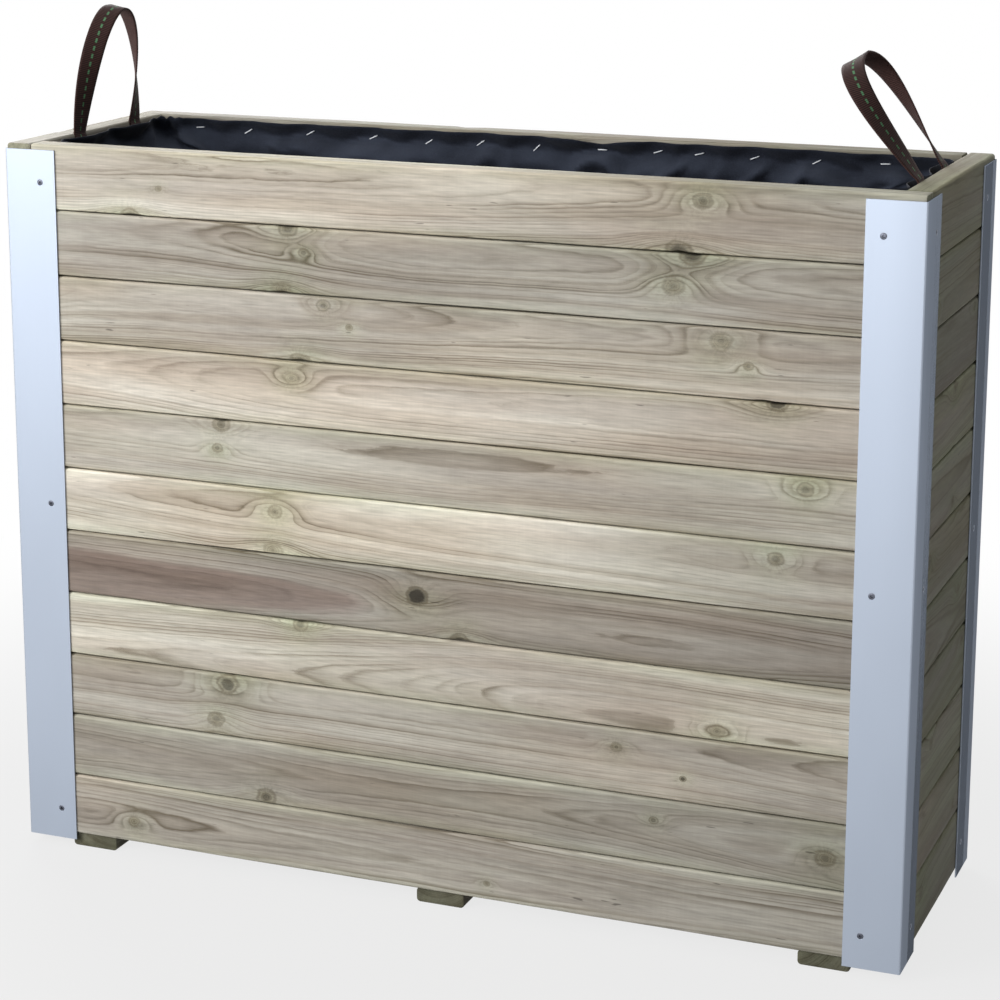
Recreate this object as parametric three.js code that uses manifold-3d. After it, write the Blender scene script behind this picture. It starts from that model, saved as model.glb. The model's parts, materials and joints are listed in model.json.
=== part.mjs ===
// Tall wooden planter: courses of rounded boards on three runners, tied at the corners by metal
// angles, lined with fabric and carried by two webbing loops.
// X runs along the front from left to right, Y from front to back, Z up from the floor.
import * as THREE from "three";
import { mergeVertices } from "three/addons/utils/BufferGeometryUtils.js";
import Module from "manifold-3d";

// Driving dimensions, in millimetres.
const BOX_WIDTH = 1000;
const BOX_DEPTH = 320;
const SEAT_CLEARANCE = 0.3;

// Wall boards.
const COURSES = 11;
const BOARD_HEIGHT = 70;
const BOARD_THICKNESS = 28;
const BOARD_ROUND = 4.5;
const COURSE_GAP = 1;
const BUTT_GAP = 1;

// Runners under the box.
const RUNNER_WIDTH = 55;
const RUNNER_THICKNESS = 16;
const RUNNER_ROUND = 4;
const RUNNER_END_SETBACK = 4.5;
const RUNNER_SIDE_INSET = 51;

// Floor boards inside the walls, with drainage gaps beside and between them.
const FLOOR_BOARD_COUNT = 2;
const FLOOR_THICKNESS = 28;
const FLOOR_DRAIN_GAP = 8;
const FLOOR_END_CLEARANCE = 2;
const FLOOR_ROUND = 3;

// Corner posts that the boards are fixed to from inside.
const POST_SIZE = 34;
const POST_ROUND = 2.5;
const POST_TOP_DROP = 48;

// Corner angles and their countersunk screw holes.
const ANGLE_FLANGE = 60;
const ANGLE_THICKNESS = 1.5;
const ANGLE_INNER_RADIUS = 0.3;
const ANGLE_TOP_DROP = 6;
const ANGLE_OVERHANG = 7;
const SCREWS_PER_FLANGE = 3;
const SCREW_EDGE_INSET = 40;
const SCREW_END_INSET = 35;
const SCREW_HEAD_RADIUS = 4;
const SCREW_SHANK_RADIUS = 2;
const SCREW_LENGTH = 25;
const PILOT_RADIUS = 1.5;

// Fabric liner: an open tub stapled round the rim, with soft folds down its walls.
const LINER_THICKNESS = 1.2;
const LINER_TOP_DROP = 4;
const LINER_EDGE_SAG = 4;
const LINER_STAPLE_DROP = 14;
const LINER_WALL_GAP = 1;
const LINER_HANG_GAP = 3;
const LINER_POST_CLEARANCE = 4;
const LINER_CORNER_FOLD = 8;
const LINER_FOLD_DEPTH = 10;
const LINER_FLOOR_CLEARANCE = 0.5;
const LINER_FLOOR_ROUND = 16;
const LINER_LONG_FOLDS = 6;
const LINER_SHORT_FOLDS = 1;
const STATIONS_PER_FOLD = 4;
const STATIONS_PER_CORNER = 3;

// Webbing carry loops, hinged on the rounded inner edge of the rim.
const STRAP_WIDTH = 25;
const STRAP_THICKNESS = 1.6;
const STRAP_FOOT_GAP = 0.5;
const STRAP_STEPS = 36;
const LEFT_LOOP = { offset: 6, footHalfSpan: 61, rise: 61, shoulder: 38, height: 135, leanDeg: 7 };
const RIGHT_LOOP = { offset: -12, footHalfSpan: 54, rise: 40, shoulder: 105, height: 137, leanDeg: 35 };

// Facets of round features.
const ROUND_SEGMENTS = 3;
const HOLE_SIDES = 10;

// Sizes that follow from the driving dimensions.
const WALL_HEIGHT = COURSES * BOARD_HEIGHT + (COURSES - 1) * COURSE_GAP;
const RIM_Z = RUNNER_THICKNESS + WALL_HEIGHT;
const INNER_HALF_WIDTH = BOX_WIDTH / 2 - BOARD_THICKNESS;
const INNER_HALF_DEPTH = BOX_DEPTH / 2 - BOARD_THICKNESS;
const FLOOR_TOP_Z = RUNNER_THICKNESS + FLOOR_THICKNESS;
const ANGLE_LENGTH = WALL_HEIGHT - ANGLE_TOP_DROP + ANGLE_OVERHANG;
const ANGLE_BOTTOM_Z = RUNNER_THICKNESS - ANGLE_OVERHANG;
const POST_HALF_SPAN_X = INNER_HALF_WIDTH - SEAT_CLEARANCE - POST_SIZE / 2;
const POST_HALF_SPAN_Y = INNER_HALF_DEPTH - SEAT_CLEARANCE - POST_SIZE / 2;
const POST_TOP_Z = RIM_Z - POST_TOP_DROP;

// Each wall seen from outside: the turn of its frame, its length and the reach to its outer face.
const WALLS = [
  { name: "front", turn: 0, length: BOX_WIDTH, reach: BOX_DEPTH / 2 },
  { name: "right_end", turn: Math.PI / 2, length: BOX_DEPTH, reach: BOX_WIDTH / 2 },
  { name: "back", turn: Math.PI, length: BOX_WIDTH, reach: BOX_DEPTH / 2 },
  { name: "left_end", turn: (3 * Math.PI) / 2, length: BOX_DEPTH, reach: BOX_WIDTH / 2 },
];

const wasm = await Module();
wasm.setup();

const planter = new THREE.Group();

// Colours and finishes of the pieces.
const boardFinish = (lightness) =>
  new THREE.MeshStandardMaterial({
    color: new THREE.Color().setHSL(0.115, 0.2, lightness),
    roughness: 0.75,
    metalness: 0,
  });
const timberFinish = () =>
  new THREE.MeshStandardMaterial({ color: 0x9a9679, roughness: 0.85, metalness: 0 });
const metalFinish = () =>
  new THREE.MeshStandardMaterial({ color: 0xc3cbd6, roughness: 0.35, metalness: 1 });
const linerFinish = () =>
  new THREE.MeshStandardMaterial({ color: 0x14161d, roughness: 0.9, metalness: 0 });
const webbingFinish = () =>
  new THREE.MeshStandardMaterial({ color: 0x3c2826, roughness: 0.8, metalness: 0 });

function addPiece(parent, name, geometry, finish) {
  const mesh = new THREE.Mesh(geometry, finish);
  mesh.name = name;
  parent.add(mesh);
  return mesh;
}

// A closed mesh as a solid that can be cut, and back.
function toSolid(geometry) {
  const bare = new THREE.BufferGeometry();
  bare.setAttribute("position", geometry.getAttribute("position").clone());
  bare.setIndex(geometry.index);
  const merged = mergeVertices(bare, 1e-4);
  const vertProperties = new Float32Array(merged.getAttribute("position").array);
  const triVerts = new Uint32Array(merged.index.array);
  return new wasm.Manifold(new wasm.Mesh({ numProp: 3, vertProperties, triVerts }));
}

function toGeometry(solid) {
  const mesh = solid.getMesh();
  const geometry = new THREE.BufferGeometry();
  geometry.setAttribute("position", new THREE.BufferAttribute(mesh.vertProperties, 3));
  geometry.setIndex(new THREE.BufferAttribute(mesh.triVerts, 1));
  geometry.computeVertexNormals();
  return geometry;
}

function cutAll(geometry, tools) {
  if (tools.length === 0) return geometry;
  const whole = toSolid(geometry);
  const rest = tools.reduce((solid, tool) => solid.subtract(toSolid(tool)), whole);
  return toGeometry(rest);
}

// A rectangle with rounded corners, centred on its origin.
function roundedSection(width, height, radius) {
  const x = width / 2;
  const y = height / 2;
  const r = Math.min(radius, x * 0.98, y * 0.98);
  const section = new THREE.Shape();
  section.moveTo(x, -y + r);
  section.lineTo(x, y - r);
  section.absarc(x - r, y - r, r, 0, Math.PI / 2);
  section.lineTo(-x + r, y);
  section.absarc(-x + r, y - r, r, Math.PI / 2, Math.PI);
  section.lineTo(-x, -y + r);
  section.absarc(-x + r, -y + r, r, Math.PI, 1.5 * Math.PI);
  section.lineTo(x - r, -y);
  section.absarc(x - r, -y + r, r, 1.5 * Math.PI, 2 * Math.PI);
  return section;
}

// A section swept along its own normal, centred on the middle of the sweep.
function sweep(section, length) {
  const geometry = new THREE.ExtrudeGeometry(section, {
    depth: length,
    bevelEnabled: false,
    curveSegments: ROUND_SEGMENTS,
  });
  return geometry.translate(0, 0, -length / 2);
}

// Turns a sweep so that its length runs along X, its section's width along Y and height along Z.
function layAlongX(geometry) {
  const basis = new THREE.Matrix4().makeBasis(
    new THREE.Vector3(0, 1, 0),
    new THREE.Vector3(0, 0, 1),
    new THREE.Vector3(1, 0, 0),
  );
  return geometry.applyMatrix4(basis);
}

// Screw heights, the same on every flange.
function screwHeights() {
  const lowest = ANGLE_BOTTOM_Z + SCREW_END_INSET;
  const highest = ANGLE_BOTTOM_Z + ANGLE_LENGTH - SCREW_END_INSET;
  return Array.from({ length: SCREWS_PER_FLANGE }, (_, i) =>
    THREE.MathUtils.lerp(lowest, highest, i / (SCREWS_PER_FLANGE - 1)),
  );
}

// A wall's boards, in a frame with X along the wall, Y inwards and Z up, from its outer face.
// Each board butts on the wall to its left and covers the end of the wall to its right.
function boardGeometry(wall, courseZ) {
  const length = wall.length - BOARD_THICKNESS - BUTT_GAP;
  const section = roundedSection(BOARD_THICKNESS, BOARD_HEIGHT, BOARD_ROUND);
  const board = layAlongX(sweep(section, length));
  board.translate((BOARD_THICKNESS + BUTT_GAP) / 2, BOARD_THICKNESS / 2, courseZ);
  return cutAll(board, pilotHoles(wall, courseZ));
}

// Blind holes for the angle screws that meet one course.
function pilotHoles(wall, courseZ) {
  const depth = SCREW_LENGTH - ANGLE_THICKNESS - SEAT_CLEARANCE;
  const fromMiddle = wall.length / 2 - SCREW_EDGE_INSET;
  const reached = screwHeights().filter(
    (z) => Math.abs(z - courseZ) < BOARD_HEIGHT / 2 + PILOT_RADIUS,
  );
  return reached.flatMap((z) =>
    [-fromMiddle, fromMiddle].map((x) =>
      new THREE.CylinderGeometry(PILOT_RADIUS, PILOT_RADIUS, 2 * depth, HOLE_SIDES).translate(x, 0, z),
    ),
  );
}

function addWall(wall) {
  const frame = new THREE.Group();
  frame.rotation.z = wall.turn;
  const outward = new THREE.Vector3(0, -wall.reach, 0);
  frame.position.copy(outward.applyAxisAngle(new THREE.Vector3(0, 0, 1), wall.turn));
  planter.add(frame);
  for (let course = 0; course < COURSES; course += 1) {
    const courseZ = RUNNER_THICKNESS + BOARD_HEIGHT / 2 + course * (BOARD_HEIGHT + COURSE_GAP);
    const number = String(course + 1).padStart(2, "0");
    const lightness = 0.58 + 0.05 * Math.sin(course * 2.3 + wall.turn);
    addPiece(frame, `${wall.name}_board_${number}`, boardGeometry(wall, courseZ), boardFinish(lightness));
  }
}

// A corner angle with its outer corner at the origin and its flanges along X and Y.
function angleSection() {
  const inner = ANGLE_INNER_RADIUS;
  const outer = ANGLE_INNER_RADIUS + ANGLE_THICKNESS;
  const section = new THREE.Shape();
  section.moveTo(outer, 0);
  section.lineTo(ANGLE_FLANGE, 0);
  section.lineTo(ANGLE_FLANGE, ANGLE_THICKNESS);
  section.lineTo(outer, ANGLE_THICKNESS);
  section.absarc(outer, outer, inner, 1.5 * Math.PI, Math.PI, true);
  section.lineTo(ANGLE_THICKNESS, ANGLE_FLANGE);
  section.lineTo(0, ANGLE_FLANGE);
  section.lineTo(0, outer);
  section.absarc(outer, outer, outer, Math.PI, 1.5 * Math.PI);
  return section;
}

// A countersunk hole through a flange whose outer face is Y = 0, opening towards -Y.
function countersunkHole(x, z) {
  const cone = new THREE.CylinderGeometry(
    SCREW_SHANK_RADIUS,
    SCREW_HEAD_RADIUS + (SCREW_HEAD_RADIUS - SCREW_SHANK_RADIUS) / 2,
    1.5 * ANGLE_THICKNESS,
    HOLE_SIDES,
  );
  const bore = new THREE.CylinderGeometry(
    SCREW_SHANK_RADIUS,
    SCREW_SHANK_RADIUS,
    2 * ANGLE_THICKNESS,
    HOLE_SIDES,
  );
  cone.translate(x, ANGLE_THICKNESS / 4, z);
  bore.translate(x, ANGLE_THICKNESS, z);
  return [cone, bore];
}

function angleGeometry() {
  const strip = sweep(angleSection(), ANGLE_LENGTH);
  strip.translate(0, 0, ANGLE_BOTTOM_Z + ANGLE_LENGTH / 2);
  const fromCorner = SCREW_EDGE_INSET + SEAT_CLEARANCE + ANGLE_THICKNESS;
  const frontHoles = screwHeights().flatMap((z) => countersunkHole(fromCorner, z));
  // The same holes in the flange along Y: a quarter turn carries its outer face to X = 0.
  const sideHoles = screwHeights().flatMap((z) =>
    countersunkHole(-fromCorner, z).map((hole) => hole.rotateZ(-Math.PI / 2)),
  );
  return cutAll(strip, [...frontHoles, ...sideHoles]);
}

function addAngles() {
  const x = BOX_WIDTH / 2 + SEAT_CLEARANCE + ANGLE_THICKNESS;
  const y = BOX_DEPTH / 2 + SEAT_CLEARANCE + ANGLE_THICKNESS;
  const corners = [
    ["front_left_angle", -x, -y, 0],
    ["front_right_angle", x, -y, Math.PI / 2],
    ["back_right_angle", x, y, Math.PI],
    ["back_left_angle", -x, y, 1.5 * Math.PI],
  ];
  for (const [name, cornerX, cornerY, turn] of corners) {
    const angle = addPiece(planter, name, angleGeometry(), metalFinish());
    angle.position.set(cornerX, cornerY, 0);
    angle.rotation.z = turn;
  }
}

function addRunners() {
  const length = BOX_DEPTH - 2 * RUNNER_END_SETBACK;
  const fromMiddle = BOX_WIDTH / 2 - RUNNER_SIDE_INSET - RUNNER_WIDTH / 2;
  const places = [
    ["left_runner", -fromMiddle],
    ["middle_runner", 0],
    ["right_runner", fromMiddle],
  ];
  for (const [name, x] of places) {
    const section = roundedSection(RUNNER_WIDTH, RUNNER_THICKNESS, RUNNER_ROUND);
    const runner = addPiece(planter, name, sweep(section, length).rotateX(Math.PI / 2), timberFinish());
    runner.position.set(x, 0, RUNNER_THICKNESS / 2);
  }
}

function addFloor() {
  const gaps = (FLOOR_BOARD_COUNT + 1) * FLOOR_DRAIN_GAP;
  const width = (2 * INNER_HALF_DEPTH - gaps) / FLOOR_BOARD_COUNT;
  const length = 2 * (INNER_HALF_WIDTH - FLOOR_END_CLEARANCE);
  for (let i = 0; i < FLOOR_BOARD_COUNT; i += 1) {
    const section = roundedSection(width, FLOOR_THICKNESS, FLOOR_ROUND);
    const board = addPiece(planter, `floor_board_${i + 1}`, layAlongX(sweep(section, length)), timberFinish());
    const y = -INNER_HALF_DEPTH + FLOOR_DRAIN_GAP + width / 2 + i * (width + FLOOR_DRAIN_GAP);
    board.position.set(0, y, RUNNER_THICKNESS + FLOOR_THICKNESS / 2);
  }
}

function addPosts() {
  const length = POST_TOP_Z - FLOOR_TOP_Z;
  const corners = [
    ["front_left_post", -1, -1],
    ["front_right_post", 1, -1],
    ["back_right_post", 1, 1],
    ["back_left_post", -1, 1],
  ];
  for (const [name, sideX, sideY] of corners) {
    const section = roundedSection(POST_SIZE, POST_SIZE, POST_ROUND);
    const post = addPiece(planter, name, sweep(section, length), timberFinish());
    post.position.set(sideX * POST_HALF_SPAN_X, sideY * POST_HALF_SPAN_Y, FLOOR_TOP_Z + length / 2);
  }
}

// The liner's levels from the rim down: how far it hangs off the walls, how far its corners are
// cut across, how deep its folds are, and its height at a fold's root and crest.
function linerLevels() {
  const postCornerX = POST_HALF_SPAN_X - POST_SIZE / 2;
  const postCornerY = POST_HALF_SPAN_Y - POST_SIZE / 2;
  const wallSum = INNER_HALF_WIDTH + INNER_HALF_DEPTH;
  const acrossPosts = (gap) =>
    wallSum - 2 * gap - postCornerX - postCornerY + LINER_POST_CLEARANCE * Math.SQRT2;
  const hang = LINER_HANG_GAP;
  const cut = acrossPosts(hang);
  const clearOfPosts = POST_TOP_Z + LINER_POST_CLEARANCE;
  const edgeZ = RIM_Z - LINER_TOP_DROP;
  const stapleZ = RIM_Z - LINER_STAPLE_DROP;
  const floorZ = FLOOR_TOP_Z + LINER_FLOOR_CLEARANCE;
  const roundZ = floorZ + LINER_FLOOR_ROUND;
  const inset = hang + LINER_FLOOR_ROUND;
  const half = LINER_FOLD_DEPTH / 2;
  return [
    { z: edgeZ, sag: LINER_EDGE_SAG, gap: LINER_WALL_GAP, cut: LINER_CORNER_FOLD, fold: half },
    { z: stapleZ, sag: 0, gap: LINER_WALL_GAP, cut: LINER_CORNER_FOLD, fold: half },
    { z: clearOfPosts, sag: 0, gap: hang, cut, fold: LINER_FOLD_DEPTH },
    { z: (2 * clearOfPosts + roundZ) / 3, sag: 0, gap: hang, cut, fold: LINER_FOLD_DEPTH },
    { z: (clearOfPosts + 2 * roundZ) / 3, sag: 0, gap: hang, cut, fold: LINER_FOLD_DEPTH },
    { z: roundZ, sag: 0, gap: hang, cut, fold: half },
    { z: floorZ, sag: 0, gap: inset, cut: acrossPosts(inset), fold: 0 },
  ];
}

// One ring of the liner: an oblong with its corners cut across, its sides drawn in by folds.
function linerRing(level, inwards) {
  const x = INNER_HALF_WIDTH - level.gap - inwards;
  const y = INNER_HALF_DEPTH - level.gap - inwards;
  const cut = level.cut - inwards * (2 - Math.SQRT2);
  const corners = [
    [-x + cut, -y], [x - cut, -y], [x, -y + cut], [x, y - cut],
    [x - cut, y], [-x + cut, y], [-x, y - cut], [-x, -y + cut],
  ];
  const sides = [LINER_LONG_FOLDS, 0, LINER_SHORT_FOLDS, 0, LINER_LONG_FOLDS, 0, LINER_SHORT_FOLDS, 0];
  return corners.flatMap(([fromX, fromY], side) => {
    const [toX, toY] = corners[(side + 1) % corners.length];
    const count = sides[side] > 0 ? sides[side] * STATIONS_PER_FOLD : STATIONS_PER_CORNER;
    const run = Math.hypot(toX - fromX, toY - fromY);
    const normal = [-(toY - fromY) / run, (toX - fromX) / run];
    return Array.from({ length: count }, (_, i) => {
      const along = i / count;
      const crest = sides[side] > 0 ? Math.sin(Math.PI * along * sides[side]) ** 2 : 0;
      const drawn = level.fold * crest * (0.75 + 0.25 * Math.cos(1.9 * i + side));
      const px = THREE.MathUtils.lerp(fromX, toX, along) + drawn * normal[0];
      const py = THREE.MathUtils.lerp(fromY, toY, along) + drawn * normal[1];
      return [px, py, level.z - level.sag * crest];
    });
  });
}

// A closed skin through a stack of rings, capped flat at both ends.
function skinThroughRings(rings) {
  const count = rings[0].length;
  const positions = rings.flat(2);
  const index = [];
  for (let r = 0; r + 1 < rings.length; r += 1) {
    for (let i = 0; i < count; i += 1) {
      const a = r * count + i;
      const b = r * count + ((i + 1) % count);
      index.push(a, a + count, b, b, a + count, b + count);
    }
  }
  const capRing = (ring, turned) => {
    const middle = positions.length / 3;
    const mean = [0, 1, 2].map((axis) => ring.reduce((sum, p) => sum + p[axis], 0) / count);
    const first = ring === rings[0] ? 0 : (rings.length - 1) * count;
    positions.push(...mean);
    for (let i = 0; i < count; i += 1) {
      const a = first + i;
      const b = first + ((i + 1) % count);
      index.push(...(turned ? [middle, b, a] : [middle, a, b]));
    }
  };
  capRing(rings[0], false);
  capRing(rings[rings.length - 1], true);
  const geometry = new THREE.BufferGeometry();
  geometry.setAttribute("position", new THREE.Float32BufferAttribute(positions, 3));
  geometry.setIndex(index);
  geometry.computeVertexNormals();
  return geometry;
}

// The liner's skin runs down its outer face, across the rim of its floor and up its inner face.
function addLiner() {
  const levels = linerLevels();
  const outside = levels.map((level) => linerRing(level, 0));
  const inside = levels.map((level) => linerRing(level, LINER_THICKNESS));
  const floor = inside[inside.length - 1];
  floor.forEach((point) => {
    point[2] += LINER_THICKNESS;
  });
  const skin = skinThroughRings([...outside].reverse().concat(inside).reverse());
  addPiece(planter, "liner", skin, linerFinish());
}

// A carry loop standing in the YZ plane, its feet on the Y axis: two mirrored legs that leave the
// rim upright and meet level at the crown. The webbing lies flat to the wall at its feet and turns
// a quarter turn up each leg.
function loopPath({ footHalfSpan, rise, shoulder, height }) {
  const point = (y, z) => new THREE.Vector3(0, y, z);
  const crown = point(0, height);
  const leg = (side) => [
    point(side * footHalfSpan, 0),
    point(side * footHalfSpan, rise),
    point(side * shoulder, height),
    crown,
  ];
  const path = new THREE.CurvePath();
  path.add(new THREE.CubicBezierCurve3(...leg(-1)));
  path.add(new THREE.CubicBezierCurve3(...leg(1).reverse()));
  return path;
}

function loopGeometry(loop) {
  const path = loopPath(loop);
  const plane = new THREE.Vector3(1, 0, 0);
  const rings = [];
  for (let step = 0; step <= STRAP_STEPS; step += 1) {
    const along = step / STRAP_STEPS;
    const centre = path.getPoint(along);
    const heading = path.getTangent(along);
    const turn = (Math.PI / 2) * Math.abs(2 * along - 1);
    const flatways = new THREE.Vector3().crossVectors(heading, plane).normalize();
    const across = plane.clone().multiplyScalar(Math.cos(turn)).addScaledVector(flatways, Math.sin(turn));
    const through = new THREE.Vector3().crossVectors(heading, across).normalize();
    const corners = [[-1, -1], [-1, 1], [1, 1], [1, -1]];
    const ring = corners.map(([a, t]) =>
      centre
        .clone()
        .addScaledVector(across, (a * STRAP_WIDTH) / 2)
        .addScaledVector(through, (t * STRAP_THICKNESS) / 2)
        .toArray(),
    );
    rings.push(ring);
  }
  return skinThroughRings(rings);
}

// The hinge line of a loop lies off the rounded inner edge of the rim, half way round the edge.
function addLoops() {
  const fromEdgeCentre = (BOARD_ROUND + STRAP_FOOT_GAP + STRAP_THICKNESS / 2) * Math.SQRT1_2;
  const x = INNER_HALF_WIDTH + BOARD_ROUND - fromEdgeCentre;
  const z = RIM_Z - BOARD_ROUND + fromEdgeCentre;
  const loops = [
    ["left_strap_loop", LEFT_LOOP, -1],
    ["right_strap_loop", RIGHT_LOOP, 1],
  ];
  for (const [name, loop, side] of loops) {
    const strap = addPiece(planter, name, loopGeometry(loop), webbingFinish());
    strap.position.set(side * x, loop.offset, z);
    strap.rotation.y = -side * THREE.MathUtils.degToRad(loop.leanDeg);
  }
}

WALLS.forEach(addWall);
addAngles();
addRunners();
addFloor();
addPosts();
addLiner();
addLoops();

export default planter;
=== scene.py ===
"""Looks of a tall wooden planter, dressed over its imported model.

Planed pine boards with growth rings and knots, satin metal angles held by countersunk screws, a
draped fabric liner with its staples, and two ribbed webbing carry loops. Lengths are in metres, X
runs along the front from left to right, Y from front to back and Z up from the floor.
"""

import json
import logging
import math
import random
from dataclasses import dataclass
from enum import Enum, StrEnum
from typing import Iterable, Iterator, NamedTuple, Sequence

import bmesh
import bpy
from mathutils import Matrix, Vector, noise
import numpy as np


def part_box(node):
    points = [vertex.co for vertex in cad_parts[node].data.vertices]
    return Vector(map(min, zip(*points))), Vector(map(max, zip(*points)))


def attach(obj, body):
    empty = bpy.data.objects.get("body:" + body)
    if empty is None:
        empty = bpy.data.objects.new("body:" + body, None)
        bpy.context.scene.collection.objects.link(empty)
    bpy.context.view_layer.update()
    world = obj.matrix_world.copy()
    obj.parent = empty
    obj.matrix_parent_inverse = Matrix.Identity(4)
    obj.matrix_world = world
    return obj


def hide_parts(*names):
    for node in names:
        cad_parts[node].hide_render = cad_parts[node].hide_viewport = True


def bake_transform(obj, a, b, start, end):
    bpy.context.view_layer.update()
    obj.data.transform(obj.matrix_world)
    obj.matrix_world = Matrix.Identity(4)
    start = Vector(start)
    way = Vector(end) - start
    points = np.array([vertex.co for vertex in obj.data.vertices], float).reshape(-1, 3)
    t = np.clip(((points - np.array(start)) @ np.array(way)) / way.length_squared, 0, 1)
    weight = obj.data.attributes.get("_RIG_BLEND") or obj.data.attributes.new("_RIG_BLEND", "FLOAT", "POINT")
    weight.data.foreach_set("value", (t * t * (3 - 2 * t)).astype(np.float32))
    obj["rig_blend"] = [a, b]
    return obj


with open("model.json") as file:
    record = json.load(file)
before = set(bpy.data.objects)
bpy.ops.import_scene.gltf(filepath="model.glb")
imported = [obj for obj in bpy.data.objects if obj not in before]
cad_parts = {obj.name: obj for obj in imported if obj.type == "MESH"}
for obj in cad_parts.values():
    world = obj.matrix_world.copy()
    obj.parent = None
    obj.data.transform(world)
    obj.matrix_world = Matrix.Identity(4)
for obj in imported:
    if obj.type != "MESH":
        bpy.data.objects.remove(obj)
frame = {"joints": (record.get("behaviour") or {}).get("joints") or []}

MM = 0.001
PLANTER_BODY = "planter"
LOG = logging.getLogger("planter")

Colour = tuple[float, float, float, float]
Socket = bpy.types.NodeSocket
Value = Socket | float
Pair = tuple[float, float]
Triple = tuple[float, float, float]
Stops = tuple[Pair, ...]
Feeds = dict[int | str, object]
Chips = tuple[tuple[float, int], ...]

WHITE: Colour = (1, 1, 1, 1)
NOISE_MEAN = 0.5
TINY = 1e-9
ON_CORNER = 1e-6
RIB_PITCH = 2.0 * MM
SEEING_RAYS = ("Is Camera Ray", "Is Glossy Ray", "Is Transmission Ray")


def srgb(*screen: int) -> Colour:
    """Turns a colour in screen values into linear light.

    Args:
        *screen: Red, green and blue, each from 0 to 255.

    Returns:
        The linear colour with full opacity.
    """
    shares = [value / 255 for value in screen]
    linear = [share / 12.92 if share <= 0.04045 else ((share + 0.055) / 1.055) ** 2.4 for share in shares]
    return (*linear, 1.0)


def smoothstep(low: float, high: float, value: float) -> float:
    """Eases from 0 at low to 1 at high, read at a value."""
    share = min(max((value - low) / (high - low), 0.0), 1.0)
    return share * share * (3 - 2 * share)


class Speckle(NamedTuple):
    """Soft noise: its change along each axis per metre, its finer layers, its share and its shift."""

    rate: Triple
    detail: float
    share: float = 1.0
    shift: Triple = (0, 0, 0)


class Span(NamedTuple):
    """A range, and what its two ends become."""

    low: float
    high: float
    start: float = 0
    end: float = 1


class Line(NamedTuple):
    """A straight line: the share of a number that is taken, and what is added to it."""

    share: float
    base: float


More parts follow.
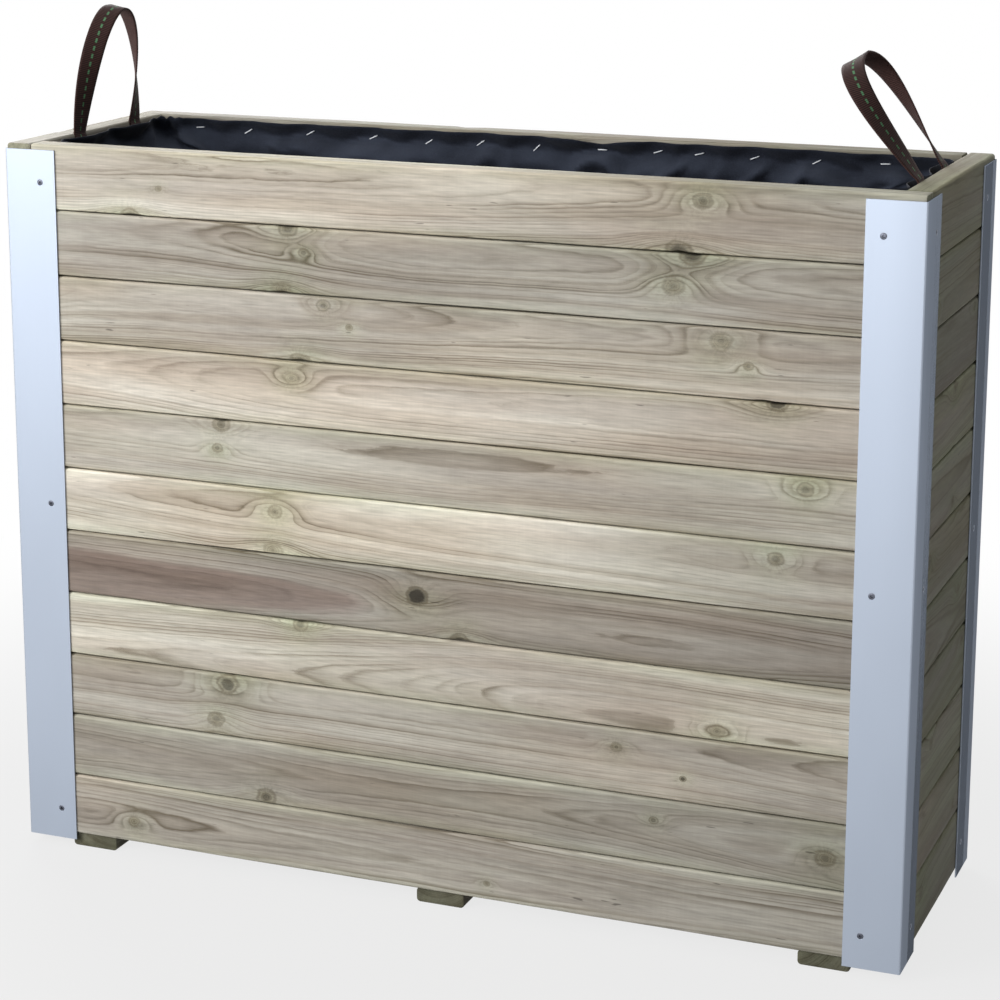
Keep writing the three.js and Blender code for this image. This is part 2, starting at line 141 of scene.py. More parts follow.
class NodeSketch:
    """Draws the node tree of a material or a world in short calls that take and give sockets."""

    def __init__(self, owner: bpy.types.Material | bpy.types.World) -> None:
        """Starts an empty node tree.

        Args:
            owner: The new material or world.
        """
        owner.use_nodes = True
        self.owner = owner
        self.tree = owner.node_tree
        self.tree.nodes.clear()

    def node(self, kind: str, feeds: Feeds | None = None, **settings: object) -> bpy.types.Node:
        """Adds a node.

        Args:
            kind: The node's type.
            feeds: For each input, an output socket that it is linked to, or its constant.
            **settings: The node's own properties.

        Returns:
            The new node.
        """
        made = self.tree.nodes.new(kind)
        for key, value in settings.items():
            setattr(made, key, value)
        for key, value in (feeds or {}).items():
            if isinstance(value, Socket):
                self.tree.links.new(value, made.inputs[key])
            else:
                made.inputs[key].default_value = value
        return made

    def math(self, operation: str, *values: Value) -> Socket:
        """Adds a Math node with its inputs in order."""
        return self.node("ShaderNodeMath", dict(enumerate(values)), operation=operation).outputs[0]

    def times(self, first: Value, second: Value) -> Socket:
        """Multiplies two numbers."""
        return self.math("MULTIPLY", first, second)

    def plus(self, base: Value, layer: Socket, share: Value) -> Socket:
        """Adds a share of a layer to a number."""
        return self.math("MULTIPLY_ADD", layer, share, base)

    def line(self, value: Socket, line: Line) -> Socket:
        """Reads a straight line at a number."""
        return self.math("MULTIPLY_ADD", value, *line)

    def fold(self, operation: str, parts: Sequence[Socket]) -> Socket:
        """Joins several numbers into one.

        Args:
            operation: The Math node's operation between each two.
            parts: The numbers in order.

        Returns:
            The result.
        """
        whole = parts[0]
        for part in parts[1:]:
            whole = self.math(operation, whole, part)
        return whole

    def vector(self, operation: str, first: object, second: object) -> Socket:
        """Adds a Vector Math node on two vectors or colours."""
        return self.node("ShaderNodeVectorMath", {0: first, 1: second}, operation=operation).outputs[0]

    def scale(self, vector: Socket, factor: Value) -> Socket:
        """Multiplies a vector or colour by a number."""
        feeds = {0: vector, "Scale": factor}
        return self.node("ShaderNodeVectorMath", feeds, operation="SCALE").outputs[0]

    def split(self, vector: Socket) -> Sequence[Socket]:
        """Separates a vector into its three parts."""
        return self.node("ShaderNodeSeparateXYZ", {0: vector}).outputs[:]

    def join(self, first: Value, second: Value) -> Socket:
        """Makes a flat vector of two numbers."""
        return self.node("ShaderNodeCombineXYZ", {0: first, 1: second}).outputs[0]

    def attribute(self, name: str) -> Socket:
        """Reads a vector that the piece's mesh carries."""
        return self.node("ShaderNodeAttribute", attribute_name=name).outputs["Vector"]

    def amount(self, name: str) -> Socket:
        """Reads a number that the piece's mesh carries."""
        return self.node("ShaderNodeAttribute", attribute_name=name).outputs["Fac"]

    def place(self) -> Socket:
        """Reads the point on the piece, in the part's own frame."""
        return self.node("ShaderNodeTexCoord").outputs["Object"]

    def noise(self, vector: Socket, speckle: Speckle, seed: object = (0, 0, 0)) -> Socket:
        """Adds soft noise that is stretched along the axes.

        Args:
            vector: Where the noise is read.
            speckle: The noise's rate, detail and shift.
            seed: The piece's own shift of the whole pattern.

        Returns:
            The noise, about 0.5 on average.
        """
        if any(speckle.shift):
            seed = self.vector("ADD", seed, speckle.shift)
        place = self.vector("ADD", self.vector("MULTIPLY", vector, speckle.rate), seed)
        feeds = {"Vector": place, "Scale": 1.0, "Detail": speckle.detail}
        return self.node("ShaderNodeTexNoise", feeds).outputs[0]

    def noise_line(self, value: Socket) -> Socket:
        """Adds soft noise along a line, about 0.5 on average."""
        feeds = {"W": value, "Scale": 1.0}
        return self.node("ShaderNodeTexNoise", feeds, noise_dimensions="1D").outputs[0]

    def band(self, value: Value, low: Value, high: Value, start: float = 0, end: float = 1) -> Socket:
        """Maps the range from low to high smoothly onto that from start to end, and holds its ends."""
        feeds = {"Value": value, "From Min": low, "From Max": high, "To Min": start, "To Max": end}
        return self.node("ShaderNodeMapRange", feeds, interpolation_type="SMOOTHSTEP").outputs[0]

    def curve(self, value: Socket, stops: Stops) -> Socket:
        """Maps a number from 0 to 1 through a line of stops.

        Args:
            value: The number that is mapped.
            stops: Pairs of place and height, in order.

        Returns:
            The mapped number.
        """
        made = self.node("ShaderNodeValToRGB", {0: value})
        elements = made.color_ramp.elements
        while len(elements) < len(stops):
            elements.new(0.5)
        for element, (at, height) in zip(elements, stops):
            element.position = at
            element.color = (height, height, height, 1)
        return made.outputs[0]

    def mix(self, factor: Value, first: object, second: object) -> Socket:
        """Mixes two colours, with factor as the share of the second."""
        feeds = {0: factor, 6: first, 7: second}
        return self.node("ShaderNodeMix", feeds, data_type="RGBA", clamp_factor=True).outputs[2]

    def bump(self, height: Socket, strength: float, distance: float) -> Socket:
        """Turns a height into a surface normal, where a height of 1 stands for a distance in metres."""
        feeds = {"Height": height, "Strength": strength, "Distance": distance}
        return self.node("ShaderNodeBump", feeds).outputs["Normal"]

    def surface(self, **inputs: object) -> bpy.types.Material:
        """Closes the tree with one principled surface.

        Args:
            **inputs: Values for the shader's sockets, named with _ for a space.

        Returns:
            The finished material.
        """
        feeds = {name.replace("_", " "): value for name, value in inputs.items()}
        shader = self.node("ShaderNodeBsdfPrincipled", feeds)
        self.node("ShaderNodeOutputMaterial", {0: shader.outputs[0]})
        return self.owner

    def seen(self) -> Socket:
        """Tells the rays that see the backdrop: the camera's, those off gloss and those through glass."""
        rays = self.node("ShaderNodeLightPath").outputs
        return self.fold("MAXIMUM", [rays[kind] for kind in SEEING_RAYS])

    def blend(self, share: Socket, first: bpy.types.Node, second: bpy.types.Node, output: str) -> None:
        """Closes the tree with a mix of two shaders, with the share of the second."""
        mixed = self.node("ShaderNodeMixShader", {0: share, 1: first.outputs[0], 2: second.outputs[0]})
        self.node(output, {0: mixed.outputs[0]})


class BoardSketch(NodeSketch):
    """Draws wood by the place on the board and the shift of the noise that each board carries."""

    def __init__(self, name: str) -> None:
        """Starts the wood's material.

        Args:
            name: The material's name.
        """
        super().__init__(bpy.data.materials.new(name))
        self.lay = self.attribute("lay")
        self.seed = self.attribute("seed")
        self.along, self.depth, self.height = self.split(self.lay)

    def speckle(self, speckle: Speckle) -> Socket:
        """Adds soft noise along the board."""
        return self.noise(self.lay, speckle, self.seed)


class Knot(NamedTuple):
    """A knot in a board: its place from the board's middle, its radius and how dark it is."""

    along: float
    height: float
    radius: float
    dark: float


# Fills a slot that a board doesn't need: far off the board, and not dark.
NO_KNOT = Knot(along=10.0, height=0.0, radius=1 * MM, dark=0.0)
KNOT_SLOTS = ("knot_one", "knot_two", "knot_three", "knot_four", "knot_five")
DARK_ENDING = "_dark"


class Grain(NamedTuple):
    """How one board was sawn from its log, and how it took the treatment.

    pith_depth and pith_height are the place of the log's centre, from the middle of the board's
    outer face. slope is how fast the rings drift along the board. lightness, heart and green are
    the board's tone, the radius of its brown heartwood and its share of green stain; on the right
    end wall the tone holds painted shade. The last field is painted shade too: how much darker the
    board's right end is drawn, where the light falls off.
    """

    pith_depth: float
    pith_height: float
    slope: float
    lightness: float
    heart: float
    green: float
    knots: tuple[Knot, ...] = ()
    fade: float = 0.0


@dataclass(frozen=True)
class GrainDraw:
    """Draws the grain of boards that the photograph doesn't show closely.

    Each pair is a range. knot_along and knot_height are shares of the board's length and of half
    its height. The radii, pith_depth, pith_height and heart are in millimetres.
    """

    knot_spacing: float = 0.3
    knot_along: Pair = (-0.46, 0.46)
    knot_height: Pair = (-0.8, 0.8)
    knot_radius: Pair = (4, 8.5)
    knot_dark: Pair = (0.15, 0.6)
    pith_depth: Pair = (32, 60)
    pith_height: Pair = (5, 45)
    slope: Pair = (-0.015, 0.015)
    lightness: Pair = (0.68, 1.08)
    heart_shown: Triple = (0.0, 0.0, 1.0)
    heart: Pair = (30, 60)
    green: Pair = (0.06, 0.32)

    def grain(self, draw: random.Random, length: float, half_height: float) -> Grain:
        """Draws one board's grain.

        Args:
            draw: The seeded source of numbers.
            length: The board's length.
            half_height: Half of the board's height.

        Returns:
            The board's grain with its knots.
        """
        count = min(len(KNOT_SLOTS), int(length / self.knot_spacing + draw.random()))
        knots = tuple(
            Knot(
                draw.uniform(*self.knot_along) * length,
                draw.uniform(*self.knot_height) * half_height,
                draw.uniform(*self.knot_radius) * MM,
                draw.uniform(*self.knot_dark),
            )
            for _ in range(count)
        )
        return Grain(
            pith_depth=draw.uniform(*self.pith_depth) * MM,
            pith_height=draw.choice((-1, 1)) * draw.uniform(*self.pith_height) * MM,
            slope=draw.uniform(*self.slope),
            lightness=draw.uniform(*self.lightness),
            heart=draw.choice(self.heart_shown) * draw.uniform(*self.heart) * MM,
            green=draw.uniform(*self.green),
            knots=knots,
        )


class KnotLayers(NamedTuple):
    """What knots add to a board.

    lift pushes the growth rings aside, core is the knot's own wood, dark its crack and outline its
    bark. halo is the stain around it, phase counts its own rings, and ray_along and ray_up point
    away from its middle.
    """

    lift: Socket
    core: Socket
    dark: Socket
    outline: Socket
    halo: Socket
    phase: Socket
    ray_along: Socket
    ray_up: Socket


# How the layers of several knots join, in the order of KnotLayers.
KNOT_JOINS = ("ADD", "MAXIMUM", "MAXIMUM", "MAXIMUM", "MAXIMUM", "ADD", "ADD", "ADD")


class RingLayers(NamedTuple):
    """What the growth rings add: how late the wood is, how strong its line is, and darker zones."""

    late: Socket
    strength: Socket
    zone: Socket


@dataclass(frozen=True)
class KnotWood:
    """How a knot shows on a board, with distances from its middle in its own radii.

    oval stretches it along the board. A fall is how fast a layer fades with the square of the
    distance. The bark and the crack with its rim and middle grow with how dark the knot is.
    """

    uneven: Line = Line(0.8, -0.4)
    oval: float = 0.66
    halo_fall: float = -0.11
    ray_middle: float = 0.05
    lift: float = 1.15
    lift_fall_along: float = -0.06
    lift_fall_up: float = -0.36
    core: Span = Span(1.3, 0.6)
    outline_at: float = 0.95
    outline: Span = Span(0.25, 0.03)
    bark: Line = Line(0.5, 0.15)
    crack: Line = Line(0.75, 0.2)
    crack_rim: Line = Line(0.72, 0.26)
    crack_middle: Line = Line(0.55, 0.05)

    def layers(self, sketch: BoardSketch, wobble: Socket) -> KnotLayers:
        """Draws the knots whose places the board carries.

        Args:
            sketch: The node tree.
            wobble: Small noise that makes outlines uneven.

        Returns:
            The layers that all knots add together.
        """
        uneven = sketch.line(wobble, self.uneven)
        each = [self._one(sketch, uneven, slot) for slot in KNOT_SLOTS]
        return KnotLayers(*map(sketch.fold, KNOT_JOINS, zip(*each)))

    def _one(self, sketch: BoardSketch, uneven: Socket, slot: str) -> KnotLayers:
        """Draws one knot.

        Args:
            sketch: The node tree.
            uneven: What the outline is moved by.
            slot: The name under which the board carries the knot.

        Returns:
            The knot's layers.
        """
        knot_along, knot_height, radius = sketch.split(sketch.attribute(slot))
        darkness = sketch.amount(slot + DARK_ENDING)
        run = sketch.math("DIVIDE", sketch.math("SUBTRACT", sketch.along, knot_along), radius)
        rise = sketch.math("DIVIDE", sketch.math("SUBTRACT", sketch.height, knot_height), radius)
        run_square = sketch.times(run, run)
        rise_square = sketch.times(rise, rise)
        reach = sketch.plus(rise_square, run_square, self.oval)
        root = sketch.math("SQRT", reach)
        away = sketch.math("ADD", root, uneven)
        halo = sketch.math("EXPONENT", sketch.times(reach, self.halo_fall))
        ray = sketch.math("DIVIDE", halo, sketch.math("ADD", root, self.ray_middle))
        fall = sketch.plus(sketch.times(run_square, self.lift_fall_along), rise_square, self.lift_fall_up)
        core = sketch.band(away, *self.core)
        beside_bark = sketch.math("ABSOLUTE", sketch.math("SUBTRACT", away, self.outline_at))
        bark = sketch.line(darkness, self.bark)
        crack = sketch.line(sketch.times(darkness, darkness), self.crack)
        crack_rim = sketch.line(darkness, self.crack_rim)
        crack_middle = sketch.line(darkness, self.crack_middle)
        return KnotLayers(
            lift=sketch.times(sketch.math("EXPONENT", fall), sketch.times(radius, self.lift)),
            core=core,
            dark=sketch.times(crack, sketch.band(away, crack_rim, crack_middle)),
            outline=sketch.times(sketch.band(beside_bark, *self.outline), bark),
            halo=halo,
            phase=sketch.times(core, sketch.times(away, radius)),
            ray_along=sketch.times(ray, run),
            ray_up=sketch.times(ray, rise),
        )


@dataclass(frozen=True)
class PlanedPine:
    """Pressure treated pine that shows growth rings, knots, fibres and a green stain.

    The colours come first, then the tones that a colour is multiplied by, the noise layers, and the
    places and strengths of what they draw.
    """

    sap_early: Colour = srgb(188, 183, 174)
    sap_late: Colour = srgb(113, 104, 89)
    heart_early: Colour = srgb(165, 152, 144)
    heart_late: Colour = srgb(95, 82, 76)
    knot_light: Colour = srgb(152, 146, 124)
    knot_dark: Colour = srgb(108, 98, 80)
    crack: Colour = srgb(50, 45, 39)
    stain: Triple = (0.83, 0.94, 0.75)
    blush: Triple = (1.0, 0.955, 0.92)
    cream: Colour = (1.19, 1.19, 1.18, 1)
    brown: Colour = (0.94, 0.91, 0.89, 1)
    zone_shade: Triple = (0.80, 0.77, 0.74)
    end_shade: Triple = (0.60, 0.62, 0.52)
    # Painted light: how much the rounded board edges are lightened.
    arris_light: float = 1.3
    wobble: Speckle = Speckle((70, 170, 170), 3)
    fibre: Speckle = Speckle((16, 800, 600), 3, 0.46)
    streak: Speckle = Speckle((3, 90, 70), 3, 0.36)
    fleck: Speckle = Speckle((42, 380, 380), 4, 0.54)
    feather: Speckle = Speckle((7, 7, 0), 4, 0.6)
    sawn: Speckle = Speckle((420, 5, 9), 2, 0.08)
    sweep: Speckle = Speckle((1.2, 2.5, 2.5), 1, 0.05)
    waver: Speckle = Speckle((3.6, 12, 12), 2, 0.0045)
    ripple: Speckle = Speckle((30, 140, 140), 3, 0.0013)
    fading: Speckle = Speckle((3, 40, 40), 2)
    patch: Speckle = Speckle((3.5, 20, 20), 3, 0.016)
    cloud: Speckle = Speckle((2.5, 14, 14), 2, shift=(7, 3, 5))
    wash: Speckle = Speckle((2.4, 27, 27), 3, shift=(11, 5, 2))
    nick: Speckle = Speckle((40, 320, 320), 1)
    least_shade: float = 0.32
    ring_spacing: float = 2.2 * MM
    ring_change: float = 0.41
    ring_drift: float = 1.5
    ring_line: Stops = ((0.0, 0.55), (0.10, 0.04), (0.40, 0.12), (0.68, 0.45), (0.88, 1.0), (1.0, 0.55))
    faded: Span = Span(0.35, 0.65, 0.2, 1.0)
    faded_by_zone: Span = Span(0.0, 1.0, 0.55, 1.0)
    faded_by_year: Span = Span(0.0, 1.0, 0.3, 1.0)
    zone_width: float = 9.0 * MM
    zone: Span = Span(0.36, 0.64)
    zone_share: float = 0.8
    heart_edge: Span = Span(-2 * MM, 3 * MM)
    blush_span: Span = Span(0.45, 0.68)
    wash_span: Span = Span(0.36, 0.62)
    edge_green: Span = Span(20 * MM, 35 * MM, 0, 0.3)
    halo_green: float = 0.55
    green_patch: Span = Span(0.3, 0.62, 0.2, 1.0)
    knot_ring_spacing: float = 1.9 * MM
    knot_line: Stops = ((0, 0.15), (0.6, 0.35), (0.9, 0.9), (1, 0.2))
    knot_share: Span = Span(0.3, 0.7, 0.4, 0.9)
    nick_span: Span = Span(0.75, 0.82, 0, 0.55)
    arris_height: Span = Span(31.5 * MM, 33.5 * MM)
    arris_depth: Span = Span(5 * MM, 3 * MM)
    late_relief: float = 0.5
    fibre_relief: float = 0.5
    crack_relief: float = -0.6
    relief_share: float = 0.32
    relief: float = 0.5 * MM
    roughness: float = 0.7
    roughness_spread: float = 0.18
    shine: float = 0.15

    def material(self) -> bpy.types.Material:
        """Draws the wood from what each board's mesh carries.

        Returns:
            The wood, one material for every board.
        """
        sketch = BoardSketch("planed_pine")
        wobble = sketch.speckle(self.wobble)
        knots = KnotWood().layers(sketch, wobble)
        radius = self._radius(sketch, knots)
        rings = self._rings(sketch, radius)
        colour = self._colour(sketch, wobble, radius, rings, knots)
        fibre = sketch.speckle(self.fibre)
        shade = self._shade(sketch, fibre, knots)
        height = sketch.plus(sketch.times(fibre, self.fibre_relief), rings.late, self.late_relief)
        height = sketch.plus(height, knots.dark, self.crack_relief)
        smoothest = self.roughness - self.roughness_spread / 2
        return sketch.surface(
            Base_Color=sketch.scale(colour, shade),
            Roughness=sketch.plus(smoothest, fibre, self.roughness_spread),
            Specular_IOR_Level=self.shine,
            Normal=sketch.bump(height, self.relief_share, self.relief),
        )

    def _radius(self, sketch: BoardSketch, knots: KnotLayers) -> Socket:
        """Finds how far each point was from the centre of its log.

        Args:
            sketch: The node tree.
            knots: The knots, which push the rings aside.

        Returns:
            The distance in metres.
        """
        pith_depth, pith_height, slope = sketch.split(sketch.attribute("growth"))
        off_depth = sketch.math("SUBTRACT", sketch.depth, pith_depth)
        off_height = sketch.math("SUBTRACT", sketch.height, pith_height)
        square = sketch.plus(sketch.times(off_height, off_height), off_depth, off_depth)
        radius = sketch.math("SQRT", square)
        for speckle in (self.sweep, self.waver, self.ripple):
            radius = sketch.plus(radius, sketch.speckle(speckle), speckle.share)
        return sketch.math("ADD", sketch.plus(radius, sketch.along, slope), knots.lift)

    def _rings(self, sketch: BoardSketch, radius: Socket) -> RingLayers:
        """Draws the growth rings: pale early wood that darkens to a thin late line.

        Args:
            sketch: The node tree.
            radius: The distance from the log's centre.

        Returns:
            The rings, each number from 0 to 1.
        """
        shift, other_shift, _ = sketch.split(sketch.seed)
        count = sketch.math("DIVIDE", radius, self.ring_spacing)
        uneven = sketch.noise_line(sketch.plus(shift, count, self.ring_change))
        count = sketch.plus(count, uneven, self.ring_drift)
        years = sketch.noise_line(sketch.plus(other_shift, radius, 1 / self.zone_width))
        zone = sketch.band(years, *self.zone)
        year = sketch.math("ADD", sketch.math("FLOOR", count), shift)
        own = sketch.node("ShaderNodeTexWhiteNoise", {"W": year}, noise_dimensions="1D")
        fading = (
            sketch.band(sketch.speckle(self.fading), *self.faded),
            sketch.band(zone, *self.faded_by_zone),
            sketch.band(own.outputs[0], *self.faded_by_year),
        )
        return RingLayers(
            late=sketch.curve(sketch.math("FRACT", count), self.ring_line),
            strength=sketch.fold("MULTIPLY", fading),
            zone=zone,
        )

    def _shade(self, sketch: BoardSketch, fibre: Socket, knots: KnotLayers) -> Socket:
        """Draws what darkens and lightens the wood: fibres, streaks, flecks, rays and saw marks.

        Args:
            sketch: The node tree.
            fibre: The noise of the fibres.
            knots: The knots, which the rays run away from.

        Returns:
            The shade, about 1 on average.
        """
        shade = sketch.plus(self.least_shade, fibre, self.fibre.share)
        for speckle in (self.streak, self.fleck):
            shade = sketch.plus(shade, sketch.speckle(speckle), speckle.share)
        away = sketch.join(knots.ray_along, knots.ray_up)
        rays = sketch.math("SUBTRACT", sketch.noise(away, self.feather, sketch.seed), NOISE_MEAN)
        shade = sketch.plus(shade, sketch.times(knots.halo, rays), self.feather.share)
        sawn = sketch.math("SUBTRACT", sketch.speckle(self.sawn), NOISE_MEAN)
        return sketch.plus(shade, sawn, self.sawn.share)

    def _colour(
        self, sketch: BoardSketch, wobble: Socket, radius: Socket, rings: RingLayers, knots: KnotLayers
    ) -> Socket:
        """Colours the wood before its fibres are added, with painted light on the board edges.

        Args:
            sketch: The node tree.
            wobble: Small noise that breaks the knots' wood.
            radius: The distance from the log's centre.
            rings: The growth rings.
            knots: The knots.

        Returns:
            The colour.
        """
        from_middle = sketch.math("ABSOLUTE", sketch.height)
        lightness, heart_radius, green = sketch.split(sketch.attribute("tone"))
        patch = sketch.speckle(self.patch)
        edge = sketch.plus(sketch.math("SUBTRACT", radius, self.patch.share / 2), patch, self.patch.share)
        heart = sketch.band(sketch.math("SUBTRACT", heart_radius, edge), *self.heart_edge)
        early = sketch.mix(heart, self.sap_early, self.heart_early)
        late = sketch.mix(heart, self.sap_late, self.heart_late)
        wood = sketch.mix(sketch.times(rings.late, rings.strength), early, late)
        zoned = sketch.vector("MULTIPLY", wood, self.zone_shade)
        wood = sketch.mix(sketch.times(rings.zone, self.zone_share), wood, zoned)
        warm = sketch.vector("MULTIPLY", wood, self.blush)
        wood = sketch.mix(sketch.band(sketch.speckle(self.cloud), *self.blush_span), wood, warm)
        washed = sketch.band(sketch.speckle(self.wash), *self.wash_span)
        wood = sketch.vector("MULTIPLY", wood, sketch.mix(washed, self.cream, self.brown))
        stained = sketch.vector("MULTIPLY", wood, self.stain)
        spread = sketch.math("ADD", green, sketch.band(from_middle, *self.edge_green))
        spread = sketch.plus(spread, knots.halo, self.halo_green)
        wood = sketch.mix(sketch.times(spread, sketch.band(patch, *self.green_patch)), wood, stained)
        knot_ring = sketch.math("FRACT", sketch.math("DIVIDE", knots.phase, self.knot_ring_spacing))
        knot_wood = sketch.mix(sketch.curve(knot_ring, self.knot_line), self.knot_light, self.knot_dark)
        knot_share = sketch.times(knots.core, sketch.band(wobble, *self.knot_share))
        wood = sketch.mix(knot_share, wood, knot_wood)
        wood = sketch.mix(knots.outline, wood, self.knot_dark)
        wood = sketch.mix(knots.dark, wood, self.crack)
        nicked = sketch.band(sketch.speckle(self.nick), *self.nick_span)
        wood = sketch.mix(nicked, wood, self.crack)
        # Painted light on the rounded board edges, which softens the shade in the grooves between boards.
        beside_edge = sketch.band(from_middle, *self.arris_height)
        painted_edge_light = sketch.times(beside_edge, sketch.band(sketch.depth, *self.arris_depth))
        wood = sketch.mix(painted_edge_light, wood, sketch.scale(wood, self.arris_light))
        # The board's tone, which holds painted shade on the right end wall and on the right ends of some
        # front boards.
        wood = sketch.scale(wood, lightness)
        ends = sketch.vector("MULTIPLY", wood, self.end_shade)
        return sketch.mix(sketch.amount("end_grain"), wood, ends)


@dataclass(frozen=True)
class SatinMetal:
    """Smooth satin sheet metal with a faint rolling grain."""

    name: str
    colour: Colour
    roughness: float
    metallic: float = 1.0
    edge: Colour = WHITE
    rolled_colour: Colour = (0.4, 0.42, 0.45, 1)
    rolled_share: float = 0.06
    cloud: Speckle = Speckle((9, 9, 4), 3, 0.10)
    rolled: Speckle = Speckle((1500, 1500, 9), 1, 0.04)
    tint: Line = Line(0.08, 0.96)
    relief_share: float = 0.05
    relief: float = 0.1 * MM

    def material(self) -> bpy.types.Material:
        """Draws the metal.

        Returns:
            The metal, with cloudy gloss and fine lines up the sheet.
        """
        sketch = NodeSketch(bpy.data.materials.new(self.name))
        place = sketch.place()
        cloud = sketch.noise(place, self.cloud)
        rolled = sketch.noise(place, self.rolled)
        rough = sketch.plus(self.roughness - self.cloud.share / 2, cloud, self.cloud.share)
        base = sketch.mix(sketch.times(rolled, self.rolled_share), self.colour, self.rolled_colour)
        return sketch.surface(
            Base_Color=sketch.scale(base, sketch.line(cloud, self.tint)),
            Metallic=self.metallic,
            Roughness=sketch.plus(rough, rolled, self.rolled.share),
            Specular_Tint=self.edge,
            Normal=sketch.bump(rolled, self.relief_share, self.relief),
        )


@dataclass(frozen=True)
class LinerFelt:
    """Black spun fabric with matted fibres, made paler where it faces up: dust and painted light from above.
    """

    dark: Colour = srgb(22, 24, 31)
    pale: Colour = srgb(70, 76, 90)
    fibre: Speckle = Speckle((900, 900, 900), 4)
    matted: Speckle = Speckle((160, 160, 160), 3, 0.14)
    dust: Speckle = Speckle((14, 14, 20), 4)
    fleck: Line = Line(0.16, 0.04)
    fleck_span: Span = Span(0.4, 0.75)
    dust_span: Span = Span(0.3, 0.7, 0.2, 0.55)
    matted_relief: float = 0.7
    fibre_relief: float = 0.4
    relief_share: float = 0.5
    relief: float = 0.5 * MM
    roughness: Line = Line(0.2, 0.72)
    shine: float = 0.04
    sheen: float = 0.06
    sheen_roughness: float = 0.5

    def material(self) -> bpy.types.Material:
        """Draws the fabric.

        Returns:
            The fabric.
        """
        sketch = NodeSketch(bpy.data.materials.new("liner_felt"))
        place = sketch.place()
        fibre = sketch.noise(place, self.fibre)
        matted = sketch.noise(place, self.matted)
        # Dust and painted light from above: the cloth is drawn paler where it faces up.
        dust = sketch.band(sketch.noise(place, self.dust), *self.dust_span)
        painted_top_light = sketch.times(sketch.amount("faces_up"), dust)
        fleck = sketch.line(sketch.band(fibre, *self.fleck_span), self.fleck)
        pale_share = sketch.plus(sketch.math("ADD", fleck, painted_top_light), matted, self.matted.share)
        height = sketch.plus(sketch.times(fibre, self.fibre_relief), matted, self.matted_relief)
        return sketch.surface(
            Base_Color=sketch.mix(pale_share, self.dark, self.pale),
            Roughness=sketch.line(matted, self.roughness),
            Specular_IOR_Level=self.shine,
            Sheen_Weight=self.sheen,
            Sheen_Roughness=self.sheen_roughness,
            Normal=sketch.bump(height, self.relief_share, self.relief),
        )


@dataclass(frozen=True)
class RibbedWebbing:
    """Woven brown webbing with cross ribs, and plain green stitches down its middle on one face."""

    name: str
    stitch_share: float
    thread: Colour = srgb(74, 50, 46)
    # The painted shade between the ribs.
    groove: Colour = srgb(34, 22, 21)
    stitch: Colour = srgb(96, 150, 108)
    stitch_pitch: float = 9.0 * MM
    stitch_length: float = 5.0 * MM
    stitch_half_width: float = 1.1 * MM
    stitch_end: float = 0.3 * MM
    stitch_edge: float = 0.2 * MM
    stitch_by_rib: Span = Span(0.0, 0.6, 0.45, 0.9)
    rib: Line = Line(0.5, 0.5)
    yarn: float = 0.12
    yarn_pitch: float = 1.1 * MM
    fuzz: Speckle = Speckle((2400, 2400, 10), 3, 0.4)
    weave: Span = Span(0.2, 1.1)
    relief_share: float = 0.5
    relief: float = 0.25 * MM
    roughness: Line = Line(0.2, 0.62)
    shine: float = 0.12
    sheen: float = 0.06

    def material(self) -> bpy.types.Material:
        """Draws the webbing from the place along and across it that its mesh carries.

        Returns:
            The webbing.
        """
        sketch = NodeSketch(bpy.data.materials.new(self.name))
        lay = sketch.attribute("lay")
        along, across, _ = sketch.split(lay)
        turn = sketch.times(along, 2 * math.pi / RIB_PITCH)
        rib = sketch.line(sketch.math("COSINE", turn), self.rib)
        yarn = sketch.math("SINE", sketch.times(across, 2 * math.pi / self.yarn_pitch))
        fuzz = sketch.noise(lay, self.fuzz)
        weave = sketch.plus(sketch.plus(rib, fuzz, self.fuzz.share), yarn, self.yarn)
        # Painted shade: the weave is drawn dark where it sinks between the ribs.
        woven = sketch.mix(sketch.band(weave, *self.weave), self.groove, self.thread)
        shown = sketch.times(self._stitches(sketch, along, across, rib), self.stitch_share)
        return sketch.surface(
            Base_Color=sketch.mix(shown, woven, self.stitch),
            Roughness=sketch.line(fuzz, self.roughness),
            Specular_IOR_Level=self.shine,
            Sheen_Weight=self.sheen,
            Normal=sketch.bump(weave, self.relief_share, self.relief),
        )

    def _stitches(self, sketch: NodeSketch, along: Socket, across: Socket, rib: Socket) -> Socket:
        """Draws the line of stitches.

        Args:
            sketch: The node tree.
            along: The place along the webbing.
            across: The place across it, from its middle.
            rib: The height of the ribs, which the stitches sink between.

        Returns:
            How much a stitch shows, from 0 to 1.
        """
        step = sketch.math("FLOORED_MODULO", along, self.stitch_pitch)
        beside = sketch.math("ABSOLUTE", across)
        length, width = self.stitch_length, self.stitch_half_width
        limits = (
            sketch.band(step, length + self.stitch_end, length - self.stitch_end),
            sketch.band(beside, width + self.stitch_edge, width - self.stitch_edge),
            sketch.band(rib, *self.stitch_by_rib),
        )
        return sketch.fold("MULTIPLY", limits)


class Finishes:
    """The materials that the pieces share."""

    def __init__(self) -> None:
        """Draws each material once."""
        dull_edge = (0.02, 0.02, 0.02, 1)
        aluminium = SatinMetal(
            "satin_aluminium", srgb(163, 172, 186), roughness=0.46, metallic=0.85, edge=dull_edge
        )
        zinc = SatinMetal("zinc_screw", srgb(92, 95, 105), roughness=0.36)
        wire = SatinMetal("galvanised_wire", srgb(214, 217, 222), roughness=0.5, metallic=0.3)
        self.pine = PlanedPine().material()
        self.angle = aluminium.material()
        self.screw = zinc.material()
        self.wire = wire.material()
        self.felt = LinerFelt().material()
        self.webbing = RibbedWebbing("stitched_webbing", stitch_share=1.0).material()
        self.webbing_inside = RibbedWebbing("plain_webbing", stitch_share=0.0).material()


